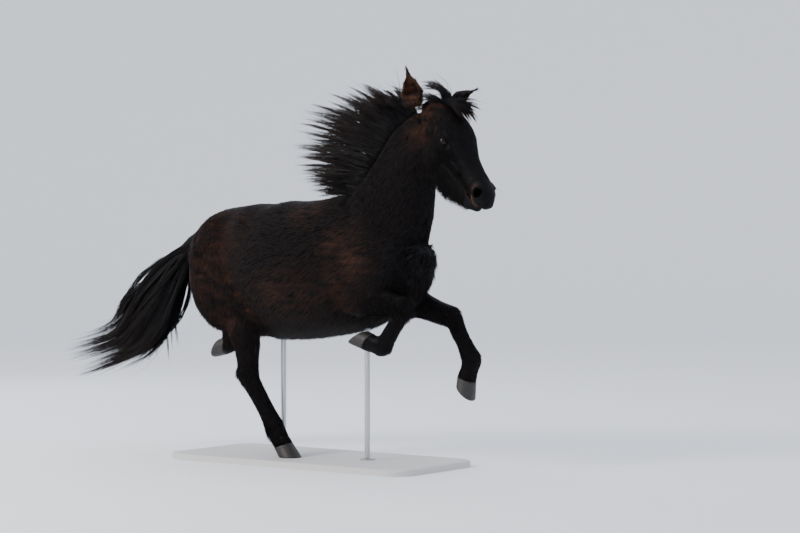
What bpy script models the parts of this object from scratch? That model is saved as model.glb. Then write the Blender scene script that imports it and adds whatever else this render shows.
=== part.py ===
"""A life-size still model of a galloping Icelandic horse on a plain display stand.

Metres. +X is the way the horse goes, +Y its left, +Z up. The origin is the centre of the
stand's underside. All heights of the horse below are measured from the top of the stand's
base. The surface of the flesh is where the tips of the short coat end; the mane, forelock
and tail are locks of their own.
"""

import math
import random

import bmesh
import bpy
from mathutils import Matrix, Vector
from mathutils.bvhtree import BVHTree

GAP = 0.0003  # kept between touching solids
SLIVER = 0.00002  # edges shorter than this are taken out after a cut
SEED = 7

# Both ends of a loft: how far they dome, and where the dome's rings lie, in degrees
DOME_RISE = 0.8
DOME_TURNS = (35, 65)

# Display stand
BASE_LENGTH = 1.46
BASE_WIDTH = 0.64
BASE_THICKNESS = 0.03
BASE_CORNER = 0.10
BASE_BEVEL = 0.006
ROD_RADIUS = 0.013
ROD_FOOT_RADIUS = 0.036
ROD_FOOT_THICKNESS = 0.008
ROD_SUNK = 0.020
ROD_SIDES = 12
SOCKET_LENGTH = 0.2
# Each rod's place and the height of the belly over it
RODS = {"stand_rod_front": (0.30, 0.0, 0.640), "stand_rod_rear": (-0.22, 0.0, 0.580)}

# Hoof: the sole's half sizes, the coronet's half sizes, and how the coronet lies over the sole
SOLE_HALF = 0.055
SOLE_SIDE = 0.054
SOLE_AHEAD = 0.041
SOLE_RIM = 0.009
SOLE_HOLLOW = 0.007
CORONET_HALF = 0.045
CORONET_SIDE = 0.046
CORONET_HEIGHT = 0.053
CORONET_SLOPE = 22.0

# Joints of the limbs at the moment with one hind hoof down. Pitch is how far a hoof is
# turned toe down, in degrees. Ham is how full the back of a thigh stands. A leg is parted at a
# share of its upper bone, and at the hock or knee and the fetlock by a plate halving the
# joint's angle: how far the plate is moved to the inside of the bend, and its half size.
LEGS = {
    "hind_right": {
        "hip": (-0.54, -0.125, 1.04),
        "stifle": (-0.335, -0.155, 0.735),
        "hock": (-0.335, -0.135, 0.385),
        "fetlock": (-0.172, -0.13, 0.150),
        "coronet": (-0.112, -0.13, CORONET_HEIGHT + GAP),
        "pitch": 0.0,
        "ham": 1.0,
        "upper_cut": 0.50,
        "joint_cut": (0.010, 0.100),
        "fetlock_cut": (0.005, 0.075),
    },
    "hind_left": {
        "hip": (-0.54, 0.125, 1.04),
        "stifle": (-0.450, 0.155, 0.710),
        "hock": (-0.780, 0.13, 0.840),
        "fetlock": (-0.664, 0.125, 0.588),
        "coronet": (-0.690, 0.125, 0.518),
        "pitch": 116.0,
        "ham": 0.62,
        "upper_cut": None,
        "joint_cut": (0.090, 0.150),
        "fetlock_cut": (0.010, 0.075),
    },
    "fore_right": {
        "shoulder": (0.535, -0.13, 0.93),
        "elbow": (0.33, -0.155, 0.80),
        "knee": (0.625, -0.14, 0.744),
        "fetlock": (0.494, -0.135, 0.553),
        "coronet": (0.412, -0.135, 0.575),
        "pitch": 147.0,
        "upper_cut": 0.78,
        "joint_cut": (0.032, 0.105),
        "fetlock_cut": (0.020, 0.085),
    },
    "fore_left": {
        "shoulder": (0.535, 0.13, 0.93),
        "elbow": (0.37, 0.155, 0.80),
        "knee": (0.704, 0.135, 0.695),
        "fetlock": (0.822, 0.13, 0.495),
        "coronet": (0.791, 0.13, 0.402),
        "pitch": 43.0,
        "upper_cut": 0.64,
        "joint_cut": (0.010, 0.095),
        "fetlock_cut": (0.005, 0.075),
    },
}
UPPER_CUT_HALF = 0.100
# The plate that takes off what lies below the coronet
FOOT_CUT_HALF = 0.075
FOOT_CUT_DEPTH = 0.09

# Half sizes along each bone: share of its length, then towards the front, the back and the side
BONES = {
    "thigh": [(0.0, 0.17, 0.19, 0.115), (0.3, 0.19, 0.250, 0.125), (0.6, 0.16, 0.270, 0.115),
              (0.85, 0.125, 0.245, 0.100), (1.0, 0.10, 0.20, 0.088)],
    "gaskin": [(0.0, 0.10, 0.200, 0.085), (0.2, 0.092, 0.160, 0.076), (0.45, 0.082, 0.100, 0.062),
               (0.75, 0.068, 0.066, 0.049), (1.0, 0.066, 0.064, 0.047)],
    "hind_cannon": [(0.0, 0.064, 0.062, 0.046), (0.2, 0.055, 0.052, 0.040), (0.5, 0.050, 0.048, 0.036),
                    (0.8, 0.049, 0.050, 0.038), (1.0, 0.052, 0.056, 0.044)],
    "shoulder": [(0.0, 0.09, 0.12, 0.045), (0.5, 0.12, 0.14, 0.065), (1.0, 0.082, 0.10, 0.066)],
    "upper_arm": [(0.0, 0.078, 0.09, 0.064), (0.5, 0.10, 0.12, 0.074), (1.0, 0.085, 0.11, 0.066)],
    "forearm": [(0.0, 0.098, 0.094, 0.064), (0.25, 0.086, 0.090, 0.061), (0.5, 0.068, 0.074, 0.053),
                (0.75, 0.058, 0.062, 0.047), (1.0, 0.060, 0.054, 0.048)],
    "fore_cannon": [(0.0, 0.054, 0.050, 0.045), (0.3, 0.043, 0.047, 0.036), (0.7, 0.042, 0.047, 0.036),
                    (1.0, 0.052, 0.054, 0.045)],
    "pastern": [(0.0, 0.050, 0.058, 0.045), (0.5, 0.046, 0.050, 0.044), (1.0, 0.049, 0.050, 0.049)],
}

# The bones of a leg, each with the joints that it runs between
HIND_CHAIN = [
    ("thigh", "hip", "stifle"), ("gaskin", "stifle", "hock"), ("hind_cannon", "hock", "fetlock"),
    ("pastern", "fetlock", "coronet"),
]
FORE_CHAIN = [
    ("upper_arm", "shoulder", "elbow"), ("forearm", "elbow", "knee"), ("fore_cannon", "knee", "fetlock"),
    ("pastern", "fetlock", "coronet"),
]
# The shoulder blade's upper end: X, share of the shoulder joint's Y, Z
SHOULDER_TOP = (0.27, 0.5, 1.17)

# The point of the hock: how far it stands behind and above the joint, its radius, and the
# share of the gaskin at which its cord starts
HEEL_BACK = 0.046
HEEL_UP = 0.036
HEEL_RADIUS = 0.027
HEEL_START = 0.55

# Trunk: distance along X, top, bottom, height of the widest line, half width
TRUNK = [
    (0.62, 1.06, 0.90, 0.97, 0.10), (0.57, 1.15, 0.82, 0.96, 0.165), (0.48, 1.22, 0.74, 0.94, 0.20),
    (0.36, 1.27, 0.67, 0.92, 0.215), (0.24, 1.285, 0.628, 0.90, 0.235), (0.10, 1.265, 0.602, 0.88, 0.275),
    (-0.05, 1.255, 0.583, 0.87, 0.30), (-0.20, 1.262, 0.580, 0.88, 0.305), (-0.33, 1.278, 0.60, 0.92, 0.285),
    (-0.45, 1.272, 0.67, 0.98, 0.26), (-0.56, 1.226, 0.76, 1.02, 0.228), (-0.66, 1.147, 0.82, 1.01, 0.172),
    (-0.735, 1.075, 0.88, 0.98, 0.105),
]

# Neck, from the poll down: centre, half size to the throat, to the crest and to the side
NECK = [
    ((0.71, -0.04, 1.585), 0.10, 0.120, 0.066), ((0.650, -0.035, 1.49), 0.125, 0.175, 0.080),
    ((0.575, -0.02, 1.36), 0.142, 0.210, 0.100), ((0.50, -0.01, 1.22), 0.190, 0.240, 0.138),
    ((0.40, 0.0, 1.08), 0.245, 0.25, 0.175),
]
# Where the neck is parted from the trunk and the head from the neck
NECK_CUT = ((0.44, 0.0, 1.184), (0.4985, 0.0, 0.867), 0.30)
HEAD_CUT = ((0.65, -0.03, 1.49), (0.972, 0.0, 0.232))
CUT_SIZE = 0.8

# Dock of the tail: centre and radius; the rest of its hair is locks
DOCK = [((-0.700, 0.0, 1.080), 0.056), ((-0.800, 0.0, 1.045), 0.048), ((-0.880, -0.004, 0.985), 0.038),
        ((-0.945, -0.012, 0.900), 0.027), ((-0.990, -0.024, 0.815), 0.018)]
DOCK_CUT = ((-0.842, 0.0, 1.015), (-0.80, 0.0, -0.60), 0.062)

# Head: the poll's place, how far the face line slopes down and how far it turns to the right
POLL = (0.770, -0.045, 1.700)
HEAD_SLOPE = 51.0
HEAD_TURN = 9.0
# Along the face line: distance, upper edge, lower edge, height of the widest line, half width
SKULL = [
    (-0.035, -0.035, -0.12, -0.075, 0.045), (0.01, 0.006, -0.15, -0.07, 0.072),
    (0.07, 0.032, -0.17, -0.055, 0.090), (0.13, 0.043, -0.17, -0.045, 0.100),
    (0.19, 0.041, -0.17, -0.040, 0.103), (0.25, 0.024, -0.16, -0.042, 0.087),
    (0.32, 0.000, -0.145, -0.052, 0.066), (0.40, -0.007, -0.13, -0.062, 0.054),
    (0.465, -0.009, -0.12, -0.066, 0.055), (0.520, -0.024, -0.118, -0.072, 0.052),
    (0.556, -0.056, -0.112, -0.086, 0.036),
]
JAW = [
    (0.055, -0.10, -0.19, -0.15, 0.052), (0.10, -0.08, -0.245, -0.17, 0.066),
    (0.165, -0.08, -0.266, -0.16, 0.073), (0.24, -0.08, -0.272, -0.155, 0.067),
    (0.315, -0.08, -0.258, -0.145, 0.056), (0.38, -0.09, -0.226, -0.140, 0.047),
    (0.44, -0.10, -0.198, -0.140, 0.042), (0.495, -0.105, -0.180, -0.142, 0.037),
    (0.528, -0.115, -0.160, -0.138, 0.028),
]
# Rounded masses on the head: centre, radii; each is made on both sides
HEAD_MASSES = {
    "brow": ((0.196, 0.085, -0.017), (0.042, 0.022, 0.018)),
    "cheek": ((0.175, 0.051, -0.168), (0.088, 0.035, 0.080)),
    "face_crest": ((0.285, 0.060, -0.080), (0.078, 0.015, 0.013)),
    "nostril_rim": ((0.480, 0.043, -0.052), (0.038, 0.021, 0.031)),
    "upper_lip": ((0.512, 0.022, -0.096), (0.042, 0.030, 0.027)),
    "chin": ((0.480, 0.012, -0.166), (0.034, 0.026, 0.020)),
}
# Eye: its place on the head and the way it looks; lids: rise and half length in degrees
EYE_PLACE = (0.206, 0.087, -0.043)
EYE_LOOK = (0.30, 0.92, 0.16)
EYE_RADIUS = 0.0235
LIDS = {"upper": (38.0, 64.0), "lower": (-34.0, 57.0)}
LID_RADIUS = 0.0050
NOSTRIL = ((0.503, 0.063, -0.057), (0.014, 0.018, 0.021))
MOUTH_CORNER = (0.446, -0.122)
MOUTH_RISE = 0.06
MOUTH_RADIUS = 0.0032

# Ears: root on the head, then the way the tip points and the way the cup faces
EARS = {
    "ear_right": {
        "root": (-0.045, -0.083, -0.090),
        "tip": (-0.17, -0.12, 0.977),
        "cup": (0.10, -0.96, -0.10),
    },
    "ear_left": {
        "root": (0.018, 0.050, -0.018),
        "tip": (0.30, 0.80, 0.52),
        "cup": (0.72, 0.10, -0.60),
    },
}
EAR_LENGTH = 0.175
EAR_CUT = 0.20
# Along the ear: share of its length, half width, half thickness
EAR_SECTIONS = [
    (0.0, 0.036, 0.031), (0.25, 0.051, 0.034), (0.5, 0.055, 0.031), (0.72, 0.042, 0.022),
    (0.9, 0.020, 0.011), (1.0, 0.006, 0.004),
]
EAR_CUP_SHARES = (0.30, 0.93)
EAR_CUP_AHEAD = 0.016
EAR_WALL = 0.006
EAR_BOW = 0.008
EAR_CUT_HALF = 0.055

# Hair in locks: how many, half the width and half the thickness at the widest, rings along one
MANE = {"count": 28, "width": 0.031, "thickness": 0.0075}
FORELOCK = {"count": 9, "width": 0.022, "thickness": 0.0065}
TAIL = {"count": 24, "width": 0.033, "thickness": 0.0095}
LOCK_RINGS = 6
# Where the mane's tips are blown to, from the poll to the withers: X and Z
MANE_TIPS = [
    (0.47, 1.765), (0.27, 1.790), (0.06, 1.715), (-0.08, 1.600), (-0.09, 1.475), (-0.04, 1.370),
    (0.06, 1.325),
]
MANE_SHARES = (0.17, 0.80)
MANE_SPREAD = 0.10
MANE_CORE_STEPS = 8
MANE_CORE_REACH = 0.42
MANE_CORE_HALF = 0.022
TAIL_CORE = [(0.14, 0.044, 0.036), (0.24, 0.060, 0.040), (0.36, 0.068, 0.036), (0.46, 0.050, 0.018)]
# The upper and the lower edge of the tail's fan, from the dock to the tips
TAIL_TOP = [
    (-0.80, 0.0, 1.085), (-0.96, -0.02, 1.00), (-1.09, -0.07, 0.87), (-1.18, -0.12, 0.735),
    (-1.21, -0.18, 0.61), (-1.45, -0.30, 0.53),
]
TAIL_BOTTOM = [
    (-0.82, -0.01, 1.02), (-0.862, -0.03, 0.875), (-0.88, -0.06, 0.71), (-0.94, -0.10, 0.565),
    (-1.08, -0.17, 0.435), (-1.37, -0.29, 0.325),
]
TAIL_SPREAD = 0.07

COLOURS = {
    "coat": (0.018, 0.014, 0.013), "hair": (0.012, 0.010, 0.010), "eye": (0.010, 0.007, 0.006),
    "hoof": (0.055, 0.050, 0.047), "steel": (0.52, 0.53, 0.54), "paint": (0.72, 0.71, 0.69),
}


def smooth_rows(rows, steps):
    """Catmull-Rom rows of numbers between the given ones, steps to each span."""
    fine = []
    last = len(rows) - 1
    for i in range(last):
        a, b, c, d = rows[max(i - 1, 0)], rows[i], rows[i + 1], rows[min(i + 2, last)]
        for k in range(steps):
            t = k / steps
            fine.append([
                q + 0.5 * t * (r - p + t * (2 * p - 5 * q + 4 * r - s + t * (3 * q - p - 3 * r + s)))
                for p, q, r, s in zip(a, b, c, d)
            ])
    fine.append(list(rows[-1]))
    return fine


def row_at(rows, share, steps=12):
    """The smoothed row at a share of the whole list."""
    fine = smooth_rows(rows, steps)
    return fine[round(max(0.0, min(1.0, share)) * (len(fine) - 1))]


def skin_rings(bm, rings):
    """Joins rings of equally many points into one closed body."""
    loops = [[bm.verts.new(point) for point in points] for points in rings]
    count = len(loops[0])
    for one, two in zip(loops, loops[1:]):
        for k in range(count):
            bm.faces.new((one[k], one[(k + 1) % count], two[(k + 1) % count], two[k]))
    bm.faces.new(loops[0][::-1])
    bm.faces.new(loops[-1])


def section(centre, front, side, half, sides, square):
    """Points round a section whose front, back and side half sizes differ."""
    fore, aft, wide = half
    points = []
    for k in range(sides):
        turn = 2 * math.pi * k / sides
        c = math.copysign(abs(math.cos(turn)) ** (2 / square), math.cos(turn))
        s = math.copysign(abs(math.sin(turn)) ** (2 / square), math.sin(turn))
        points.append(centre + front * c * (fore if c > 0 else aft) + side * s * wide)
    return points


def loft(bm, rows, sides=20, steps=3, square=2.2, side_axis=Vector((0, 1, 0))):
    """Adds a closed body through rows of centre x, y, z and half sizes front, back and side.

    Front is the path's direction crossed with the side axis, so it is a limb's front, a trunk's
    belly and a head's face line. Both ends are domed.
    """
    fine = smooth_rows(rows, steps)
    centres = [Vector(row[:3]) for row in fine]
    last = len(fine) - 1
    frames = []
    for i, row in enumerate(fine):
        along = (centres[min(i + 1, last)] - centres[max(i - 1, 0)]).normalized()
        front = along.cross(side_axis).normalized()
        frames.append((centres[i], along, front, front.cross(along).normalized(), row[3:6]))

    def dome(frame, sign):
        centre, along, front, side, half = frame
        reach = min(half) * DOME_RISE
        rings = []
        for turn in DOME_TURNS:
            height = sign * reach * math.sin(math.radians(turn))
            sizes = [h * math.cos(math.radians(turn)) for h in half]
            rings.append((centre + along * height, along, front, side, sizes))
        return rings

    frames = dome(frames[0], -1)[::-1] + frames + dome(frames[-1], 1)
    skin_rings(bm, [section(c, front, side, half, sides, square) for c, _, front, side, half in frames])


def ellipsoid(bm, centre, radii, segments=20, place=Matrix()):
    at = place @ Matrix.Translation(Vector(centre)) @ Matrix.Diagonal((*radii, 1.0))
    bmesh.ops.create_uvsphere(bm, u_segments=segments, v_segments=segments // 2 + 2, radius=1.0, matrix=at)


def new_object(name, bm):
    """Makes an object of a bmesh, with its faces pointing out."""
    bmesh.ops.recalc_face_normals(bm, faces=bm.faces)
    mesh = bpy.data.meshes.new(name)
    bm.to_mesh(mesh)
    bm.free()
    obj = bpy.data.objects.new(name, mesh)
    bpy.context.scene.collection.objects.link(obj)
    return obj


def applied(obj):
    """Replaces an object's mesh by what its modifiers make of it."""
    bpy.context.view_layer.update()
    made = bpy.data.meshes.new_from_object(obj.evaluated_get(bpy.context.evaluated_depsgraph_get()))
    old = obj.data
    obj.modifiers.clear()
    obj.data = made
    bpy.data.meshes.remove(old)
    return obj


def combined(obj, pieces, operation, solver="EXACT"):
    """Joins the pieces to an object, or cuts them from it, and removes them."""
    group = bpy.data.collections.new("pieces")
    bpy.context.scene.collection.children.link(group)
    for piece in pieces:
        bpy.context.scene.collection.objects.unlink(piece)
        group.objects.link(piece)
    boolean = obj.modifiers.new("combine", "BOOLEAN")
    boolean.operand_type = "COLLECTION"
    boolean.collection = group
    boolean.operation = operation
    boolean.solver = solver
    applied(obj)
    for piece in pieces:
        bpy.data.objects.remove(piece)
    bpy.data.collections.remove(group)
    return obj


def shells(bm):
    """The connected bodies of a bmesh, as lists of faces, the largest first."""
    seen = set()
    found = []
    for seed in bm.faces:
        if seed in seen:
            continue
        seen.add(seed)
        body = [seed]
        for face in body:
            for edge in face.edges:
                near = [f for f in edge.link_faces if f not in seen]
                seen.update(near)
                body.extend(near)
        found.append(body)
    return sorted(found, key=lambda faces: -sum(f.calc_area() for f in faces))


def without_flaps(bm):
    """Takes out faces that lie back to back on the same corners."""
    by_corners = {}
    for face in bm.faces:
        by_corners.setdefault(frozenset(face.verts), []).append(face)
    flaps = [face for faces in by_corners.values() if len(faces) > 1 for face in faces]
    bmesh.ops.delete(bm, geom=flaps, context="FACES")


def cleaned(bm):
    """Takes out slivers and leaves triangles only."""
    bmesh.ops.triangulate(bm, faces=bm.faces)
    bmesh.ops.dissolve_degenerate(bm, edges=bm.edges, dist=SLIVER)
    bmesh.ops.triangulate(bm, faces=bm.faces)
    without_flaps(bm)


def largest_only(obj):
    """Keeps an object's largest closed surface."""
    bm = bmesh.new()
    bm.from_mesh(obj.data)
    for faces in shells(bm)[1:]:
        bmesh.ops.delete(bm, geom=faces, context="FACES")
    cleaned(bm)
    bm.to_mesh(obj.data)
    bm.free()
    return obj


def parted(obj, marks):
    """Splits an object's separate bodies into named nodes, each by the mark nearest to it."""
    bm = bmesh.new()
    bm.from_mesh(obj.data)
    cleaned(bm)
    nodes = {}
    for faces in shells(bm):
        corners = list(dict.fromkeys(v for f in faces for v in f.verts))
        centre = sum((v.co for v in corners), Vector()) / len(corners)
        name = min(marks, key=lambda mark: (Vector(marks[mark]) - centre).length)
        if name in nodes:
            continue
        piece = bmesh.new()
        copies = {v: piece.verts.new(v.co) for v in corners}
        for face in faces:
            piece.faces.new([copies[v] for v in face.verts])
        nodes[name] = new_object(name, piece)
    bm.free()
    bpy.data.objects.remove(obj)
    return nodes


def slab(place, normal, half, thickness, offset=0.0):
    """A thin square plate for parting a body, its middle offset along the normal."""
    turn = Vector(normal).normalized().to_track_quat("Z", "Y").to_matrix().to_4x4()
    at = Matrix.Translation(Vector(place)) @ turn @ Matrix.Translation((0, 0, offset))
    bm = bmesh.new()
    bmesh.ops.create_cube(bm, size=1.0, matrix=at @ Matrix.Diagonal((2 * half, 2 * half, thickness, 1.0)))
    return new_object("slab", bm)


def melted(name, bm, voxel, smoothing, triangles):
    """Melts overlapping bodies into one smooth skin of about so many triangles."""
    obj = new_object(name, bm)
    melt = obj.modifiers.new("melt", "REMESH")
    melt.mode = "VOXEL"
    melt.voxel_size = voxel
    smooth = obj.modifiers.new("smooth", "SMOOTH")
    smooth.factor = 0.5
    smooth.iterations = smoothing
    applied(obj)
    faces = sum(len(p.vertices) - 2 for p in obj.data.polygons)
    fewer = obj.modifiers.new("fewer", "DECIMATE")
    fewer.ratio = triangles / faces
    fewer.use_collapse_triangulate = True
    return largest_only(applied(obj))


def bone(bm, kind, start, end, full=1.0):
    a, b = Vector(start), Vector(end)
    loft(bm, [[*a.lerp(b, share), fore, aft * full, side] for share, fore, aft, side in BONES[kind]])


def heel_bone(bm, leg):
    """The cord from the gaskin's back down to the point of the hock."""
    stifle, hock, fetlock = (Vector(leg[joint]) for joint in ("stifle", "hock", "fetlock"))
    along = (fetlock - hock).normalized()
    front = along.cross(Vector((0, 1, 0))).normalized()
    point = hock - front * HEEL_BACK - along * HEEL_UP
    start = stifle.lerp(hock, HEEL_START)
    rows = [[*start.lerp(point, share), *[HEEL_RADIUS] * 3] for share in (0.0, 0.5, 1.0)]
    loft(bm, rows, sides=12)


def limb(bm, leg):
    """One leg's flesh, from the trunk down to the coronet."""
    if "hip" in leg:
        heel_bone(bm, leg)
        chain = HIND_CHAIN
    else:
        x, inset, z = SHOULDER_TOP
        bone(bm, "shoulder", (x, leg["shoulder"][1] * inset, z), leg["shoulder"])
        chain = FORE_CHAIN
    for kind, start, end in chain:
        bone(bm, kind, leg[start], leg[end], leg["ham"] if kind == "thigh" else 1.0)


def head_place():
    turn = Matrix.Rotation(math.radians(-HEAD_TURN), 4, "Z")
    slope = Matrix.Rotation(math.radians(HEAD_SLOPE), 4, "Y")
    return Matrix.Translation(Vector(POLL)) @ turn @ slope


def head_flesh(bm):
    made = bmesh.new()
    for rows in (SKULL, JAW):
        loft(made, [[x, 0.0, mid, top - mid, mid - low, half] for x, top, low, mid, half in rows], sides=24)
    for (x, y, z), radii in HEAD_MASSES.values():
        for hand in (-1, 1):
            ellipsoid(made, (x, y * hand, z), radii)
    made.transform(head_place())
    mesh = bpy.data.meshes.new("head_flesh")
    made.to_mesh(mesh)
    made.free()
    bm.from_mesh(mesh)
    bpy.data.meshes.remove(mesh)


def neck_flesh(bm):
    loft(bm, [[*centre, throat, crest, side] for centre, throat, crest, side in NECK], sides=24)


def body_flesh(bm):
    loft(bm, [[x, 0.0, mid, mid - low, top - mid, half] for x, top, low, mid, half in TRUNK], sides=28)
    loft(bm, [[*centre, radius, radius, radius] for centre, radius in DOCK], sides=12)
    for leg in LEGS.values():
        limb(bm, leg)


def hoof_place(leg):
    turn = Matrix.Rotation(math.radians(leg["pitch"]), 4, "Y")
    return Matrix.Translation(Vector(leg["coronet"])) @ turn


def coronet_normal(leg):
    slope = math.radians(CORONET_SLOPE)
    return hoof_place(leg).to_3x3() @ Vector((-math.sin(slope), 0, math.cos(slope)))


def joint_plate(above, joint, below, shift, half):
    """A plate through a joint that halves the angle between its bones."""
    up, down = (above - joint).normalized(), (below - joint).normalized()
    return slab(joint + (up + down).normalized() * shift, down - up, half, GAP)


def leg_nodes():
    """The names and marks of each leg's nodes, and the plates that part them."""
    marks, plates = {}, []
    for name, leg in LEGS.items():
        kind, hand = name.split("_")
        bones = ("stifle", "hock") if kind == "hind" else ("elbow", "knee")
        top, joint, fetlock, coronet = (Vector(leg[j]) for j in (*bones, "fetlock", "coronet"))
        if leg["upper_cut"]:
            at = top.lerp(joint, leg["upper_cut"])
            plates.append(slab(at, joint - top, UPPER_CUT_HALF, GAP))
            marks[f"{'gaskin' if kind == 'hind' else 'forearm'}_{hand}"] = at.lerp(joint, 0.4)
        plates.append(joint_plate(top, joint, fetlock, *leg["joint_cut"]))
        plates.append(joint_plate(joint, fetlock, coronet, *leg["fetlock_cut"]))
        marks[f"{kind}_cannon_{hand}"] = joint.lerp(fetlock, 0.5)
        marks[f"{kind}_pastern_{hand}"] = fetlock.lerp(coronet, 0.6)
        plates.append(slab(coronet, -coronet_normal(leg), FOOT_CUT_HALF, FOOT_CUT_DEPTH, FOOT_CUT_DEPTH / 2))
    return marks, plates


def rod_sockets():
    """Round holes in the belly for the stand's rods."""
    holes = []
    radius = ROD_RADIUS + GAP
    for x, y, belly in RODS.values():
        bm = bmesh.new()
        middle = belly + ROD_SUNK + GAP - SOCKET_LENGTH / 2
        bmesh.ops.create_cone(bm, cap_ends=True, segments=ROD_SIDES, radius1=radius, radius2=radius,
                              depth=SOCKET_LENGTH, matrix=Matrix.Translation((x, y, middle)))
        holes.append(new_object("socket", bm))
    return holes


def crest_frame(share):
    """A point on the crest of the neck and the way out of it, by share from the poll."""
    rows = [[*centre, throat, crest, side] for centre, throat, crest, side in NECK]
    here, near = row_at(rows, share), row_at(rows, share + 0.04)
    far = row_at(rows, share - 0.04)
    along = (Vector(near[:3]) - Vector(far[:3])).normalized()
    out = -along.cross(Vector((0, 1, 0))).normalized()
    return Vector(here[:3]) + out * here[4], out


def lock(bm, path, width, thickness, across):
    """A flat, tapered, bending lock along a path of points, its width laid along across."""
    rings = []
    count = len(path)
    for i, point in enumerate(path):
        t = i / (count - 1)
        along = (path[min(i + 1, count - 1)] - path[max(i - 1, 0)]).normalized()
        wide = (across - along * across.dot(along)).normalized()
        thick = along.cross(wide)
        swell = math.sin(math.pi * (0.20 + 0.77 * t)) ** 0.8
        w, h = wide * width * swell, thick * thickness * swell
        rings.append([point + w, point + h, point - w, point - h])
    skin_rings(bm, rings)


def bezier(points, share):
    while len(points) > 1:
        points = [a.lerp(b, share) for a, b in zip(points, points[1:])]
    return points[0]


def lock_object(path, sizes, across, scale):
    bm = bmesh.new()
    lock(bm, path, sizes["width"] * scale, sizes["thickness"] * scale, across)
    bmesh.ops.triangulate(bm, faces=bm.faces)
    return new_object("lock", bm)


def mane_core():
    """A thin wedge along the crest, under the locks, that reaches less than half way to their tips."""
    rings = []
    for k in range(MANE_CORE_STEPS + 1):
        share = k / MANE_CORE_STEPS
        root, out = crest_frame(MANE_SHARES[0] + (MANE_SHARES[1] - MANE_SHARES[0]) * share)
        x, z = row_at(MANE_TIPS, share)
        reach = (Vector((x, root.y, z)) - root) * MANE_CORE_REACH
        side = Vector((0, MANE_CORE_HALF, 0))
        low = root - out * 0.03
        rings.append([low + side, root + reach + side * 0.25, root + reach - side * 0.25, low - side])
    bm = bmesh.new()
    skin_rings(bm, rings)
    bmesh.ops.triangulate(bm, faces=bm.faces)
    return new_object("core", bm)


def mane_locks(rng):
    """Locks from the crest, blown back and up, fanned to both sides."""
    locks = [mane_core()]
    for i in range(MANE["count"]):
        share = (i + 0.5) / MANE["count"]
        root, out = crest_frame(MANE_SHARES[0] + (MANE_SHARES[1] - MANE_SHARES[0]) * share)
        x, z = row_at(MANE_TIPS, share)
        reach = rng.uniform(0.72, 1.06)
        hand = 1 if i % 2 else -1
        tip = root.lerp(Vector((x, root.y, z)), reach)
        tip += Vector((0, hand * rng.uniform(0.15, 1.0) * MANE_SPREAD, rng.uniform(-0.02, 0.015)))
        root += Vector((0, hand * 0.012, 0)) - out * 0.018
        middle = root.lerp(tip, 0.55) + Vector((0, 0, rng.uniform(0.02, 0.06) * (1 - share * 0.6)))
        bends = [root, root + out * 0.07 + Vector((0, hand * 0.02, 0)), middle, tip]
        path = [bezier(bends, k / (LOCK_RINGS - 1)) for k in range(LOCK_RINGS)]
        across = Vector((0.1, hand * rng.uniform(0.0, 0.5), 1.0))
        locks.append(lock_object(path, MANE, across, rng.uniform(0.85, 1.15)))
    return locks


def forelock_locks(rng):
    """Locks from between the ears: most lie down the forehead, some are blown back over the poll."""
    place = head_place()
    locks = []
    for i in range(FORELOCK["count"]):
        side = rng.uniform(-0.9, 1.0)
        root = Vector((0.005 + 0.010 * (i % 3), side * 0.022, -0.008))
        if i % 3 == 2:
            tip = Vector((rng.uniform(-0.145, -0.115), side * 0.03 - 0.02, rng.uniform(-0.045, -0.015)))
            rise, over = Vector((-0.01, 0, 0.085)), tip.lerp(root, 0.5) + Vector((-0.02, 0, 0.080))
        else:
            tip = Vector((rng.uniform(0.11, 0.19), 0.040 + side * 0.060, rng.uniform(0.045, 0.065)))
            rise, over = Vector((0.02, side * 0.01, 0.075)), tip.lerp(root, 0.35) + Vector((0, 0, 0.045))
        bends = [root, root + rise, over, tip]
        path = [place @ bezier(bends, k / (LOCK_RINGS - 1)) for k in range(LOCK_RINGS)]
        across = place.to_3x3() @ Vector((0.2, 1.0, rng.uniform(-0.3, 0.3)))
        locks.append(lock_object(path, FORELOCK, across, rng.uniform(0.85, 1.15)))
    return locks


def tail_core():
    """The dense middle of the tail, under the locks, that reaches less than half way to their tips."""
    rows = []
    for share, high, wide in TAIL_CORE:
        middle = Vector(row_at(TAIL_TOP, share)).lerp(Vector(row_at(TAIL_BOTTOM, share)), 0.5)
        rows.append([*middle, high, high, wide])
    bm = bmesh.new()
    loft(bm, rows, sides=12, steps=2)
    bmesh.ops.triangulate(bm, faces=bm.faces)
    return new_object("core", bm)


def tail_locks(rng):
    """Locks from the dock, streaming back and down in a fan."""
    dock = [centre for centre, _ in DOCK]
    locks = [tail_core()]
    for i in range(TAIL["count"]):
        level = (i * 0.618 + 0.3) % 1.0
        start = rng.uniform(0.40, 0.98)
        end = rng.uniform(0.74, 1.0)
        hand = 1 if i % 2 else -1
        spread = hand * rng.uniform(0.1, 1.0) * TAIL_SPREAD
        root = Vector(row_at(dock, start))
        first = start * 0.36
        path = []
        for k in range(LOCK_RINGS):
            t = k / (LOCK_RINGS - 1)
            share = first + (end - first) * t
            top, low = Vector(row_at(TAIL_TOP, share)), Vector(row_at(TAIL_BOTTOM, share))
            sideways = spread * math.sin(math.pi * (0.15 + t * 0.6))
            fan = top.lerp(low, level) + Vector((0, sideways, 0))
            leave = min(1.0, t * 2.2)
            path.append(root.lerp(fan, leave * leave * (3 - 2 * leave)))
        across = Vector((-0.5, hand * rng.uniform(0.1, 0.9), 0.85))
        locks.append(lock_object(path, TAIL, across, rng.uniform(0.8, 1.2)))
    return locks


def ear_axes(name):
    """The ear's own place: up its length, across it and the way its cup faces."""
    tip = Vector(EARS[name]["tip"]).normalized()
    cup = Vector(EARS[name]["cup"])
    cup = (cup - tip * cup.dot(tip)).normalized()
    root = head_place() @ Vector(EARS[name]["root"])
    turn = Matrix((tip.cross(cup), cup, tip)).transposed().to_4x4()
    return Matrix.Translation(root) @ turn


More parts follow.
